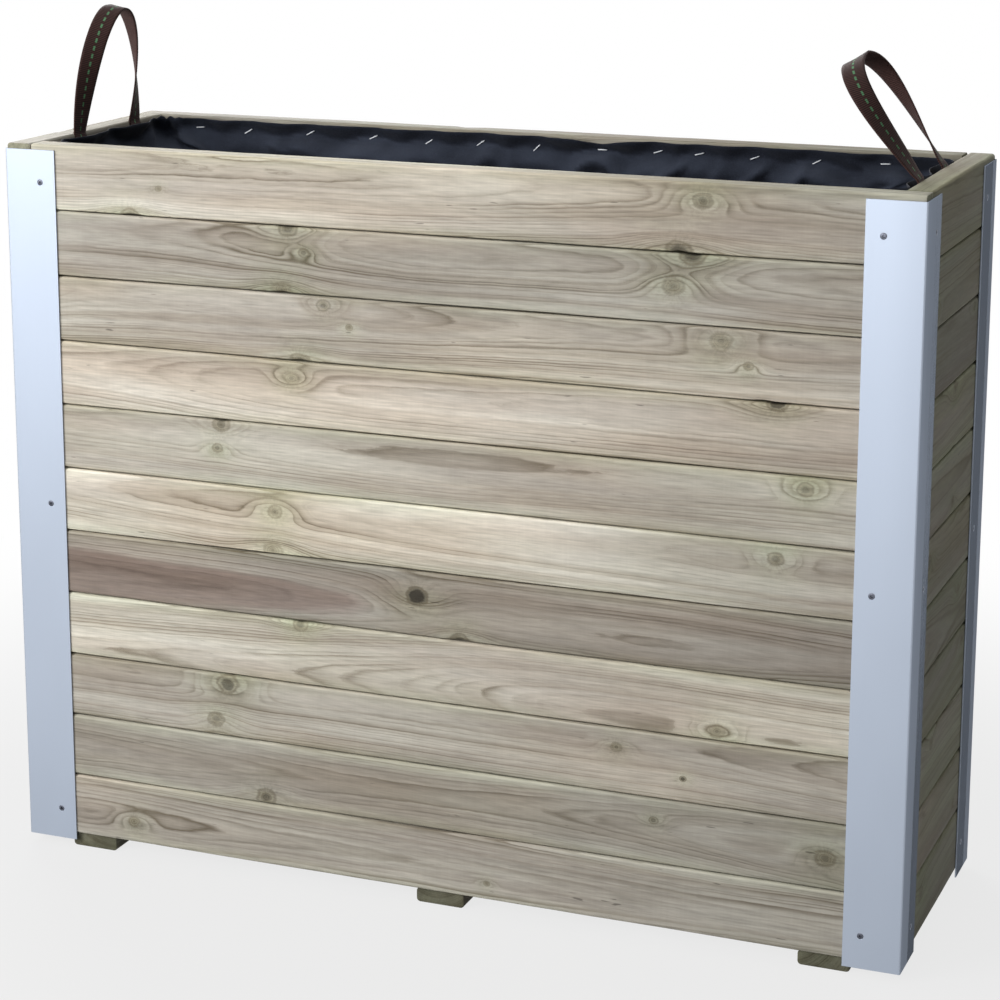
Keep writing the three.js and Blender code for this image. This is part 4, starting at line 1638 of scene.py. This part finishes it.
@dataclass
class Liner:
    """The fabric tub that hangs from its staples, stands clear of the posts and lies on the floor.

    A run is the way down from the tub's edge, and a pair is where something starts and ends. The
    staples pin the cloth, its lip rolls over above them, a valley lies below the lip, and under it
    the cloth swells, creases and bellies off the walls. strap_feet says where along their walls the
    carry loops go down behind it.
    """

    finishes: Finishes
    strap_feet: dict[Wall, Pair]
    top_drop: float = 2.5 * MM
    hang_gap: float = 3 * MM
    floor_round: float = 16 * MM
    thickness: float = 1.0 * MM
    corner_cut: float = 9 * MM
    post_cut: float = 80 * MM
    post_run: Pair = (12 * MM, 48 * MM)
    floor_run: Pair = (-30 * MM, 10 * MM)
    floor_hold: float = 0.97
    stations: int = 440
    rows: int = 96
    top_crowding: float = 0.35
    softness: int = 4
    merge: float = 0.01 * MM
    facing: Pair = (0.75, 0.97)
    facing_front: float = 0.9
    # How far a point must face up to be drawn paler, with dust and painted light from above.
    dusty: Pair = (-0.12, 0.5)
    pin_width: float = 15 * MM
    pin_height: float = 9 * MM
    pin_hold: float = 0.95
    lip: float = 9.5 * MM
    lip_wave: float = 0.6
    lip_pinch: float = 0.8
    valley: float = 19 * MM
    valley_wave: float = 2.5 * MM
    scallop: float = 11 * MM
    scallop_width: float = 26 * MM
    swell: float = 13 * MM
    swell_lost_on_ends: float = 0.6
    swell_wave: float = 0.9
    swell_run: float = 22 * MM
    strap_bulge: float = 2.6 * MM
    strap_bulge_width: float = 18 * MM
    strap_bulge_run: Pair = (48 * MM, 32 * MM)
    crinkle: float = 0.6 * MM
    crease: float = 9 * MM
    crease_width: float = 0.16
    crease_rate: float = 11
    crease_rate_down: float = 12
    crease_slant: float = 6
    crease_run: float = 12 * MM
    belly: float = 12 * MM
    belly_more: float = 0.2
    belly_run: Pair = (40 * MM, 150 * MM)
    bend_ripple: Ripple = Ripple(5, 6)
    slow_ripple: Ripple = Ripple(9, shift=1.5)
    broad_ripple: Ripple = Ripple(5, 2.4, 4)
    fine_ripple: Ripple = Ripple(48, 34)
    fold_start: Pair = (-0.12, 0.12)
    fold_end: Pair = (1.25, 0.6)
    fold_steep_side: float = 0.5
    edge_run: float = 22 * MM
    edge_wave: float = 1.2 * MM
    edge_ripple: Ripple = Ripple(13, shift=3)
    edge_crinkle: float = 0.5 * MM
    edge_fine_ripple: Ripple = Ripple(60, shift=8)
    sag: float = 5.5 * MM
    sag_at: float = 75 * MM
    sag_width: float = 22 * MM
    tuft: float = 4.5 * MM
    tuft_at: Pair = (-466 * MM, 126 * MM)
    tuft_width: float = 19 * MM
    tuft_rate: float = 450
    flat: Pair = (1.76, 2.44)
    flat_area: float = 2.1

    def build(self) -> None:
        """Builds the liner."""
        low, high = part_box("liner")
        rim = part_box("front_board_11")[1].z
        piece = make_piece(self._tub(low, high, rim), "liner_cloth", self.finishes.felt, sharp=180)
        wall = piece.modifiers.new("cloth", "SOLIDIFY")
        wall.thickness = self.thickness
        wall.offset = 0
        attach(piece, PLANTER_BODY)
        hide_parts("liner")

    def _tub(self, low: Vector, high: Vector, rim: float) -> bmesh.types.BMesh:
        """Wraps a flat grid into the tub.

        Args:
            low: The lowest corner of the liner's box.
            high: The highest corner of the liner's box.
            rim: The height of the rim.

        Returns:
            The middle of the cloth, without its thickness.
        """
        half = Vector((high.x - self.thickness / 2, high.y - self.thickness / 2))
        floor = low.z + self.thickness / 2
        runs = (
            rim - self.top_drop - floor - self.floor_round,
            math.pi / 2 * self.floor_round,
            half.y - self.floor_round,
        )
        bm = bmesh.new()
        bmesh.ops.create_grid(bm, x_segments=self.stations, y_segments=self.rows, size=0.5)
        rings: dict[int, Ring] = {}
        for vert in bm.verts:
            step = 0.5 - vert.co.y
            row = round(step * self.rows)
            run = sum(runs) * (self.top_crowding * step + (1 - self.top_crowding) * step * step)
            if row not in rings:
                rings[row] = self._ring(run, half, (rim, floor), runs)
            vert.co = self._point(rings[row], round((vert.co.x + 0.5) * self.stations) % self.stations)
        bmesh.ops.remove_doubles(bm, verts=bm.verts, dist=self.merge)
        bmesh.ops.recalc_face_normals(bm, faces=bm.faces)
        self._mark_upward(bm)
        return bm

    def _mark_upward(self, bm: bmesh.types.BMesh) -> None:
        """Writes how far each point faces up, where the cloth gets dust and painted light from above.

        Args:
            bm: The tub.
        """
        bm.normal_update()
        faces_up = bm.verts.layers.float.new("faces_up")
        lowest = min(bm.verts, key=lambda vert: vert.co.z)
        side = math.copysign(1, lowest.normal.z)
        for vert in bm.verts:
            vert[faces_up] = smoothstep(*self.dusty, side * vert.normal.z)

    def _ring(self, run: float, half: Vector, levels: Pair, runs: Triple) -> Ring:
        """Walks once round the tub, with the corners as soft as cloth makes them.

        Args:
            run: The way down the wall and in over the floor.
            half: Half of the tub's width and depth.
            levels: The heights of the rim and of the floor.
            runs: The lengths of the wall, the rounded foot and the floor.

        Returns:
            The ring before it is pushed off the walls.
        """
        wall_run, arc_run, _ = runs
        inset, height = 0.0, levels[0] - self.top_drop - run
        if run > wall_run:
            turn = min(1.0, (run - wall_run) / arc_run) * math.pi / 2
            inset = self.floor_round * (1 - math.cos(turn)) + max(0.0, run - wall_run - arc_run)
            height = levels[1] + self.floor_round * (1 - math.sin(turn))
        fallen = smoothstep(*self.post_run, run)
        on_floor = smoothstep(*self.floor_run, run - wall_run)
        gap = self.hang_gap * fallen * (1 - on_floor)
        reach = Vector((half.x - gap - inset, max(0.0, half.y - gap - inset)))
        cut = min(self.corner_cut + (self.post_cut - self.corner_cut) * fallen, reach.y)
        sharp = [oblong_point(number / self.stations, reach, cut) for number in range(self.stations)]
        beside = range(-self.softness, self.softness + 1)
        points = []
        for number in range(self.stations):
            near = [sharp[(number + step) % self.stations] for step in beside]
            at = sum((place for place, _ in near), Vector((0, 0))) / len(near)
            inward = sum((way for _, way in near), Vector((0, 0))).normalized()
            points.append((at, inward))
        return Ring(run, height, on_floor, points)

    def _point(self, ring: Ring, number: int) -> Vector:
        """Places one point of the tub.

        Args:
            ring: The ring that the point is on.
            number: Its station.

        Returns:
            The point.
        """
        at, inward = ring.points[number]
        at = at + inward * (self._push(at, inward, ring.run) * (1 - self.floor_hold * ring.on_floor))
        edge = smoothstep(self.edge_run, 0, ring.run)
        return Vector((at.x, at.y, ring.height - edge * self._edge_dip(at, inward)))

    def _walls_at(self, at: Vector, inward: Vector) -> Iterator[tuple[Wall, float, float]]:
        """Finds the walls that a point of the tub hangs on.

        Args:
            at: The point.
            inward: The direction inwards from its wall.

        Yields:
            The wall, the place along it and how fully the point faces from it.
        """
        for wall, inside in INSIDE.items():
            facing = smoothstep(*self.facing, inward.dot(inside))
            if facing > 0:
                yield wall, at.x if inside.x == 0 else at.y, facing

    def _push(self, at: Vector, inward: Vector, run: float) -> float:
        """Finds how far the fabric stands off its wall.

        Args:
            at: The point on the wall.
            inward: The direction inwards from the wall.
            run: The way down from the liner's edge.

        Returns:
            The distance inwards.
        """
        pinned = pinched = drawn_up = on_end = push = 0.0
        for wall, along, facing in self._walls_at(at, inward):
            for staple in WALL_STAPLES[wall]:
                beside = ((along - staple.along) / self.pin_width) ** 2
                down = (run - staple.drop + self.top_drop) / self.pin_height
                off = (along - staple.along) / self.scallop_width
                pinned = max(pinned, facing * math.exp(-beside - down * down))
                pinched = max(pinched, facing * math.exp(-beside))
                drawn_up = max(drawn_up, facing * math.exp(-off * off))
            for fold in WALL_FOLDS[wall]:
                push += facing * self._ridge(fold, along, run)
            on_end = max(on_end, facing * abs(INSIDE[wall].x))
            for foot in self.strap_feet.get(wall, ()):
                over = math.exp(-(((along - foot) / self.strap_bulge_width) ** 2))
                push += facing * self.strap_bulge * (over * smoothstep(*self.strap_bulge_run, run))
        slow = self.slow_ripple.height(at, run)
        broad = self.broad_ripple.height(at, run)
        valley = self.valley - self.scallop * drawn_up + self.valley_wave * slow
        lip = self.lip * (1 + self.lip_wave * broad) * (1 - self.lip_pinch * pinched)
        push += lip * smoothstep(valley, 0, run)
        swell = self.swell * (1 - self.swell_lost_on_ends * on_end) * (1 + self.swell_wave * slow)
        push += swell * smoothstep(valley, valley + self.swell_run, run)
        push += self.crinkle * (1 + self.fine_ripple.height(at, run))
        push += self.crease * self._crease(at, run) * smoothstep(valley, valley + self.crease_run, run)
        push += self.belly * max(0.0, broad + self.belly_more) * smoothstep(*self.belly_run, run)
        return push * (1 - self.pin_hold * pinned)

    def _crease(self, at: Vector, run: float) -> float:
        """Finds how near a place is to one of the slanting creases, from 0 to 1.

        Args:
            at: The point on the wall.
            run: The way down from the liner's edge.

        Returns:
            The nearness.
        """
        bend = self.bend_ripple.height(at, run)
        down = run * self.crease_rate_down + at.x * self.crease_slant
        slant = Vector((at.x * self.crease_rate + bend, at.y * self.crease_rate + bend, down))
        return math.exp(-((noise.noise(slant) / self.crease_width) ** 2))

    def _ridge(self, fold: Fold, along: float, run: float) -> float:
        """Finds the height of a fold at a place on its wall.

        Args:
            fold: The fold.
            along: The place along the wall.
            run: The way down from the liner's edge.

        Returns:
            The height, steeper on one side of the fold.
        """
        start, end = Vector(fold.start), Vector(fold.end)
        way = end - start
        share = (Vector((along, run)) - start).dot(way) / way.length_squared
        off = (along - start.x) * way.y - (run - start.y) * way.x
        off = off / way.length / (fold.width if off * way.x < 0 else self.fold_steep_side * fold.width)
        ends = smoothstep(*self.fold_start, share) * smoothstep(*self.fold_end, share)
        return fold.height * ends * math.exp(-off * off)

    def _edge_dip(self, at: Vector, inward: Vector) -> float:
        """Finds how far the liner's edge hangs below its level.

        Args:
            at: The point on the wall.
            inward: The direction inwards from the wall.

        Returns:
            The drop, below 0 where the edge stands up.
        """
        dip = self.edge_wave * self.edge_ripple.height(at)
        dip += self.edge_crinkle * self.edge_fine_ripple.height(at)
        if inward.dot(INSIDE[Wall.BACK]) > self.facing_front:
            dip += self.sag * math.exp(-(((at.x - self.sag_at) / self.sag_width) ** 2))
        if at.x < 0 < at.y:
            around = (Vector(self.tuft_at) - at).length
            pleats = 1 + math.cos((at.x + at.y) * self.tuft_rate)
            dip -= self.tuft * math.exp(-((around / self.tuft_width) ** 2)) * pleats
        return dip


@dataclass
class LinerStaples:
    """The wire staples that hold the liner's edge to the walls."""

    finishes: Finishes
    crown: float = 10 * MM
    leg: float = 6 * MM
    width: float = 1.0 * MM
    thickness: float = 0.6 * MM
    bend_radius: float = 0.9 * MM
    bend_steps: int = 4
    stand_off: float = 3.0 * MM

    def build(self) -> None:
        """Builds the staples, one piece for each wall."""
        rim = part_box("front_board_11")[1].z
        for wall, staples in WALL_STAPLES.items():
            low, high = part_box(f"{wall.label}_board_11")
            bm = bmesh.new()
            for staple in staples:
                self._staple(bm, self._place(wall, staple, low, high, rim))
            piece = make_piece(bm, f"{wall.label}_staples", self.finishes.wire, sharp=50)
            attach(piece, PLANTER_BODY)

    def _place(self, wall: Wall, staple: Staple, low: Vector, high: Vector, rim: float) -> Matrix:
        """Finds a staple's frame: its crown along X, its legs towards -Y into the board.

        Args:
            wall: The wall.
            staple: The staple on it.
            low: The lowest corner of the wall's top board.
            high: The highest corner of the wall's top board.
            rim: The rim's height.

        Returns:
            The frame.
        """
        level = rim - staple.drop
        at = {
            Wall.FRONT: (staple.along, high.y + self.stand_off, level),
            Wall.BACK: (staple.along, low.y - self.stand_off, level),
            Wall.LEFT_END: (high.x + self.stand_off, staple.along, level),
            Wall.RIGHT_END: (low.x - self.stand_off, staple.along, level),
        }[wall]
        tilt = Matrix.Rotation(math.radians(staple.tilt), 4, "Y")
        return Matrix.Translation(at) @ wall.turn @ tilt

    def _staple(self, bm: bmesh.types.BMesh, place: Matrix) -> None:
        """Bends one flat wire into a staple.

        Args:
            bm: The mesh that takes it.
            place: The staple's frame.
        """
        half, radius = self.crown / 2, self.bend_radius
        path = [Vector((-half, -self.leg, 0))]
        for number in range(self.bend_steps + 1):
            turn = math.pi / 2 * number / self.bend_steps
            along = -half + radius * (1 - math.cos(turn))
            path.append(Vector((along, radius * (math.sin(turn) - 1), 0)))
        path += [Vector((-at.x, at.y, 0)) for at in reversed(path)]
        made = bmesh.ops.create_grid(bm, x_segments=len(path) - 1, y_segments=1, size=0.5)["verts"]
        for vert in made:
            step = round((vert.co.x + 0.5) * (len(path) - 1))
            vert.co = path[step] + Vector((0, 0, vert.co.y * self.width))
        bm.normal_update()
        grown = bmesh.ops.solidify(bm, geom=faces_of(made), thickness=self.thickness)["geom"]
        whole = {*made, *(item for item in grown if isinstance(item, bmesh.types.BMVert))}
        bmesh.ops.recalc_face_normals(bm, faces=faces_of(whole))
        bmesh.ops.transform(bm, matrix=place, verts=list(whole))


class Side(StrEnum):
    """An end of the box, which a carry loop is on."""

    LEFT = "left"
    RIGHT = "right"

    @property
    def outward(self) -> int:
        """The direction along X that points out of the box."""
        return -1 if self is Side.LEFT else 1


@dataclass
class CarryLoop:
    """A webbing loop on an end wall, with both tails fixed behind the liner."""

    finishes: Finishes
    side: Side
    offset: float
    foot_half_span: float
    rise: float
    shoulder: float
    height: float
    lean: float
    width: float = 25 * MM
    thickness: float = 1.6 * MM
    tail: float = 34 * MM
    tail_inward: float = 1.5 * MM
    tail_ease: float = 6 * MM
    bend_from: float = -7 * MM
    bend_to: float = 9 * MM
    step: float = 0.5 * MM
    across: int = 8
    rib_depth: float = 0.12 * MM
    fineness: int = 400

    @property
    def feet(self) -> Pair:
        """Where the two legs go down, along the end wall."""
        return (self.offset - self.foot_half_span, self.offset + self.foot_half_span)

    def build(self) -> None:
        """Builds the loop with its tails and bends it across its hinge."""
        joint = next(j for j in frame["joints"] if j["name"] == f"{self.side}_strap_swing")
        hinge = Vector(joint["pos_m"])
        bm = self._ribbon(hinge)
        piece = make_piece(bm, f"{self.side}_strap_webbing", self.finishes.webbing_inside, sharp=70)
        piece.data.materials.append(self.finishes.webbing)
        wall = piece.modifiers.new("webbing", "SOLIDIFY")
        wall.thickness = self.thickness
        wall.offset = 0
        wall.material_offset = 1
        start = hinge + Vector((0, 0, self.bend_from))
        end = hinge + Vector((0, 0, self.bend_to))
        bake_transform(piece, PLANTER_BODY, f"{self.side}_strap", start=tuple(start), end=tuple(end))
        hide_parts(f"{self.side}_strap_loop")

    def _leg(self, share: float, hand: int) -> Vector:
        """Follows the curve of one leg.

        Args:
            share: The place on the leg, from its foot at 0 to the crown at 1.
            hand: Which leg, -1 in front or 1 behind.

        Returns:
            The point in the loop's own plane.
        """
        foot = Vector((0, hand * self.foot_half_span, 0))
        above = Vector((0, hand * self.foot_half_span, self.rise))
        shoulder = Vector((0, hand * self.shoulder, self.height))
        crown = Vector((0, 0, self.height))
        back = 1 - share
        lower = foot * back**3 + above * (3 * back**2 * share)
        return lower + shoulder * (3 * back * share**2) + crown * share**3

    def _centreline(self) -> list[tuple[Vector, Vector, float]]:
        """Walks the webbing's middle from one tail to the other, in the loop's own plane.

        Returns:
            For each step, the point, the heading and the turn of the webbing from crosswise.
        """
        points = [self._leg(i / self.fineness, -1) for i in range(self.fineness + 1)]
        points += [self._leg(1 - i / self.fineness, 1) for i in range(1, self.fineness + 1)]
        lengths = [0.0]
        for before, after in zip(points, points[1:]):
            lengths.append(lengths[-1] + (after - before).length)
        loop_length = lengths[-1]
        count = round((loop_length + 2 * self.tail) / self.step)
        found = []
        at = 0
        for number in range(count + 1):
            run = (loop_length + 2 * self.tail) * number / count - self.tail
            if run < 0:
                found.append((Vector((0, -self.foot_half_span, run)), Vector((0, 0, 1)), math.pi / 2))
                continue
            if run > loop_length:
                below = Vector((0, self.foot_half_span, loop_length - run))
                found.append((below, Vector((0, 0, -1)), math.pi / 2))
                continue
            while at + 2 < len(points) and lengths[at + 1] < run:
                at += 1
            share = (run - lengths[at]) / (lengths[at + 1] - lengths[at])
            heading = (points[at + 1] - points[at]).normalized()
            turn = math.pi / 2 * abs(2 * run / loop_length - 1)
            found.append((points[at].lerp(points[at + 1], share), heading, turn))
        return found

    def _ribbon(self, hinge: Vector) -> bmesh.types.BMesh:
        """Lays a flat grid along the webbing's middle, with its ribs.

        Args:
            hinge: A point on the hinge line.

        Returns:
            The ribbon in the part's frame, without its thickness.
        """
        line = self._centreline()
        rows = len(line) - 1
        bm = bmesh.new()
        bmesh.ops.create_grid(bm, x_segments=rows, y_segments=self.across, size=0.5)
        lay = bm.verts.layers.float_vector.new("lay")
        plane = Vector((1, 0, 0))
        for vert in bm.verts:
            number = round((vert.co.x + 0.5) * rows)
            centre, heading, turn = line[number]
            flatways = heading.cross(plane).normalized()
            across = plane * math.cos(turn) + flatways * math.sin(turn)
            through = heading.cross(across)
            beside = vert.co.y * (self.width - self.thickness)
            run = number * self.step
            rib = self.rib_depth * math.cos(2 * math.pi * run / RIB_PITCH)
            vert[lay] = Vector((run, beside, 0))
            vert.co = self._swing(centre + across * beside + through * rib, hinge)
        bmesh.ops.recalc_face_normals(bm, faces=bm.faces)
        return bm

    def _swing(self, point: Vector, hinge: Vector) -> Vector:
        """Leans a point of the loop at its hinge and keeps the tails on the wall.

        Args:
            point: The point in the loop's plane.
            hinge: A point on the hinge line.

        Returns:
            The point in the part's frame.
        """
        share = smoothstep(self.bend_from, self.bend_to, point.z)
        lean = Matrix.Rotation(-self.side.outward * math.radians(self.lean) * share, 3, "Y")
        inward = -self.side.outward * self.tail_inward * smoothstep(0, -self.tail_ease, point.z)
        return lean @ point + Vector((hinge.x + inward, self.offset, hinge.z))


class Lamp(NamedTuple):
    """A square soft light: its name, its place, the length of its side and its power in watts."""

    name: str
    place: Triple
    size: float
    power: float


@dataclass
class Studio:
    """The pale floor, the soft lights and the camera at the photograph's angle."""

    camera_place: Triple = (1.0362, -2.6062, 1.1672)
    camera_turn: Triple = (77.683, -0.138, 21.598)
    lens: float = 95.722
    sensor: float = 36
    shift_up: float = -0.13
    floor_size: float = 24.0
    floor_colour: Colour = (0.3, 0.3, 0.3, 1)
    floor_whiteness: Span = Span(0.5, 1.5, 0.78, 1.0)
    world_light: float = 0.11
    lit_point: Triple = (0, 0, 0.4)
    lamps: tuple[Lamp, ...] = (
        Lamp("key_light", (-2.2, -2.7, 1.7), 2.2, 125.0),
        Lamp("front_light", (-0.15, -2.9, 0.9), 1.0, 19.0),
        Lamp("top_light", (0.1, 0.5, 3.0), 2.4, 22.0),
        Lamp("back_light", (-2.6, 3.2, 2.4), 2.4, 150.0),
    )

    def build(self) -> None:
        """Sets up the floor, the world, the lights and the camera."""
        self._floor()
        self._world()
        for lamp in self.lamps:
            self._light(lamp)
        self._camera()
        bpy.context.scene.view_settings.view_transform = "Standard"

    def _floor(self) -> None:
        """Lays the pale floor, which keeps the shadow near the planter and is white far off."""
        sketch = NodeSketch(bpy.data.materials.new("studio_floor"))
        along, across, _ = sketch.split(sketch.place())
        square = sketch.plus(sketch.times(across, across), along, along)
        far = sketch.band(sketch.math("SQRT", square), *self.floor_whiteness)
        matt = sketch.node("ShaderNodeBsdfDiffuse", {"Color": self.floor_colour})
        white = sketch.node("ShaderNodeEmission")
        sketch.blend(sketch.times(far, sketch.seen()), matt, white, "ShaderNodeOutputMaterial")
        bm = bmesh.new()
        bmesh.ops.create_grid(bm, x_segments=1, y_segments=1, size=self.floor_size / 2)
        floor = make_piece(bm, "studio_floor", sketch.owner)

    def _world(self) -> None:
        """Lights the scene evenly and shows white behind it."""
        world = bpy.data.worlds.new("studio")
        bpy.context.scene.world = world
        sketch = NodeSketch(world)
        soft = sketch.node("ShaderNodeBackground", {"Color": WHITE, "Strength": self.world_light})
        white = sketch.node("ShaderNodeBackground", {"Color": WHITE})
        sketch.blend(sketch.seen(), soft, white, "ShaderNodeOutputWorld")

    def _light(self, lamp: Lamp) -> None:
        """Adds a soft light that faces the planter's middle.

        Args:
            lamp: The light's name, place, size and power.
        """
        data = bpy.data.lights.new(lamp.name, "AREA")
        data.size = lamp.size
        data.energy = lamp.power
        light = bpy.data.objects.new(lamp.name, data)
        light.location = lamp.place
        aim = Vector(self.lit_point) - Vector(lamp.place)
        light.rotation_euler = aim.to_track_quat("-Z", "Y").to_euler()
        bpy.context.scene.collection.objects.link(light)

    def _camera(self) -> None:
        """Sets the camera where the photograph was taken from."""
        data = bpy.data.cameras.new("photo_camera")
        data.lens = self.lens
        data.sensor_width = self.sensor
        data.shift_y = self.shift_up
        camera = bpy.data.objects.new("photo_camera", data)
        camera.location = self.camera_place
        camera.rotation_euler = tuple(math.radians(turn) for turn in self.camera_turn)
        bpy.context.scene.collection.objects.link(camera)
        bpy.context.scene.camera = camera


def main() -> None:
    """Builds the planter's pieces."""
    logging.basicConfig(level=logging.INFO, format="%(message)s")
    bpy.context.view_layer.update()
    finishes = Finishes()
    left_loop = CarryLoop(
        finishes, Side.LEFT, offset=6 * MM, foot_half_span=61 * MM,
        rise=61 * MM, shoulder=38 * MM, height=135 * MM, lean=7,
    )
    right_loop = CarryLoop(
        finishes, Side.RIGHT, offset=-12 * MM, foot_half_span=54 * MM,
        rise=40 * MM, shoulder=105 * MM, height=137 * MM, lean=35,
    )
    Walls(finishes).build()
    Base(finishes).build()
    CornerAngles(finishes).build()
    Liner(finishes, {Wall.LEFT_END: left_loop.feet, Wall.RIGHT_END: right_loop.feet}).build()
    LinerStaples(finishes).build()
    left_loop.build()
    right_loop.build()
    Studio().build()


if __name__ == "__main__":
    main()
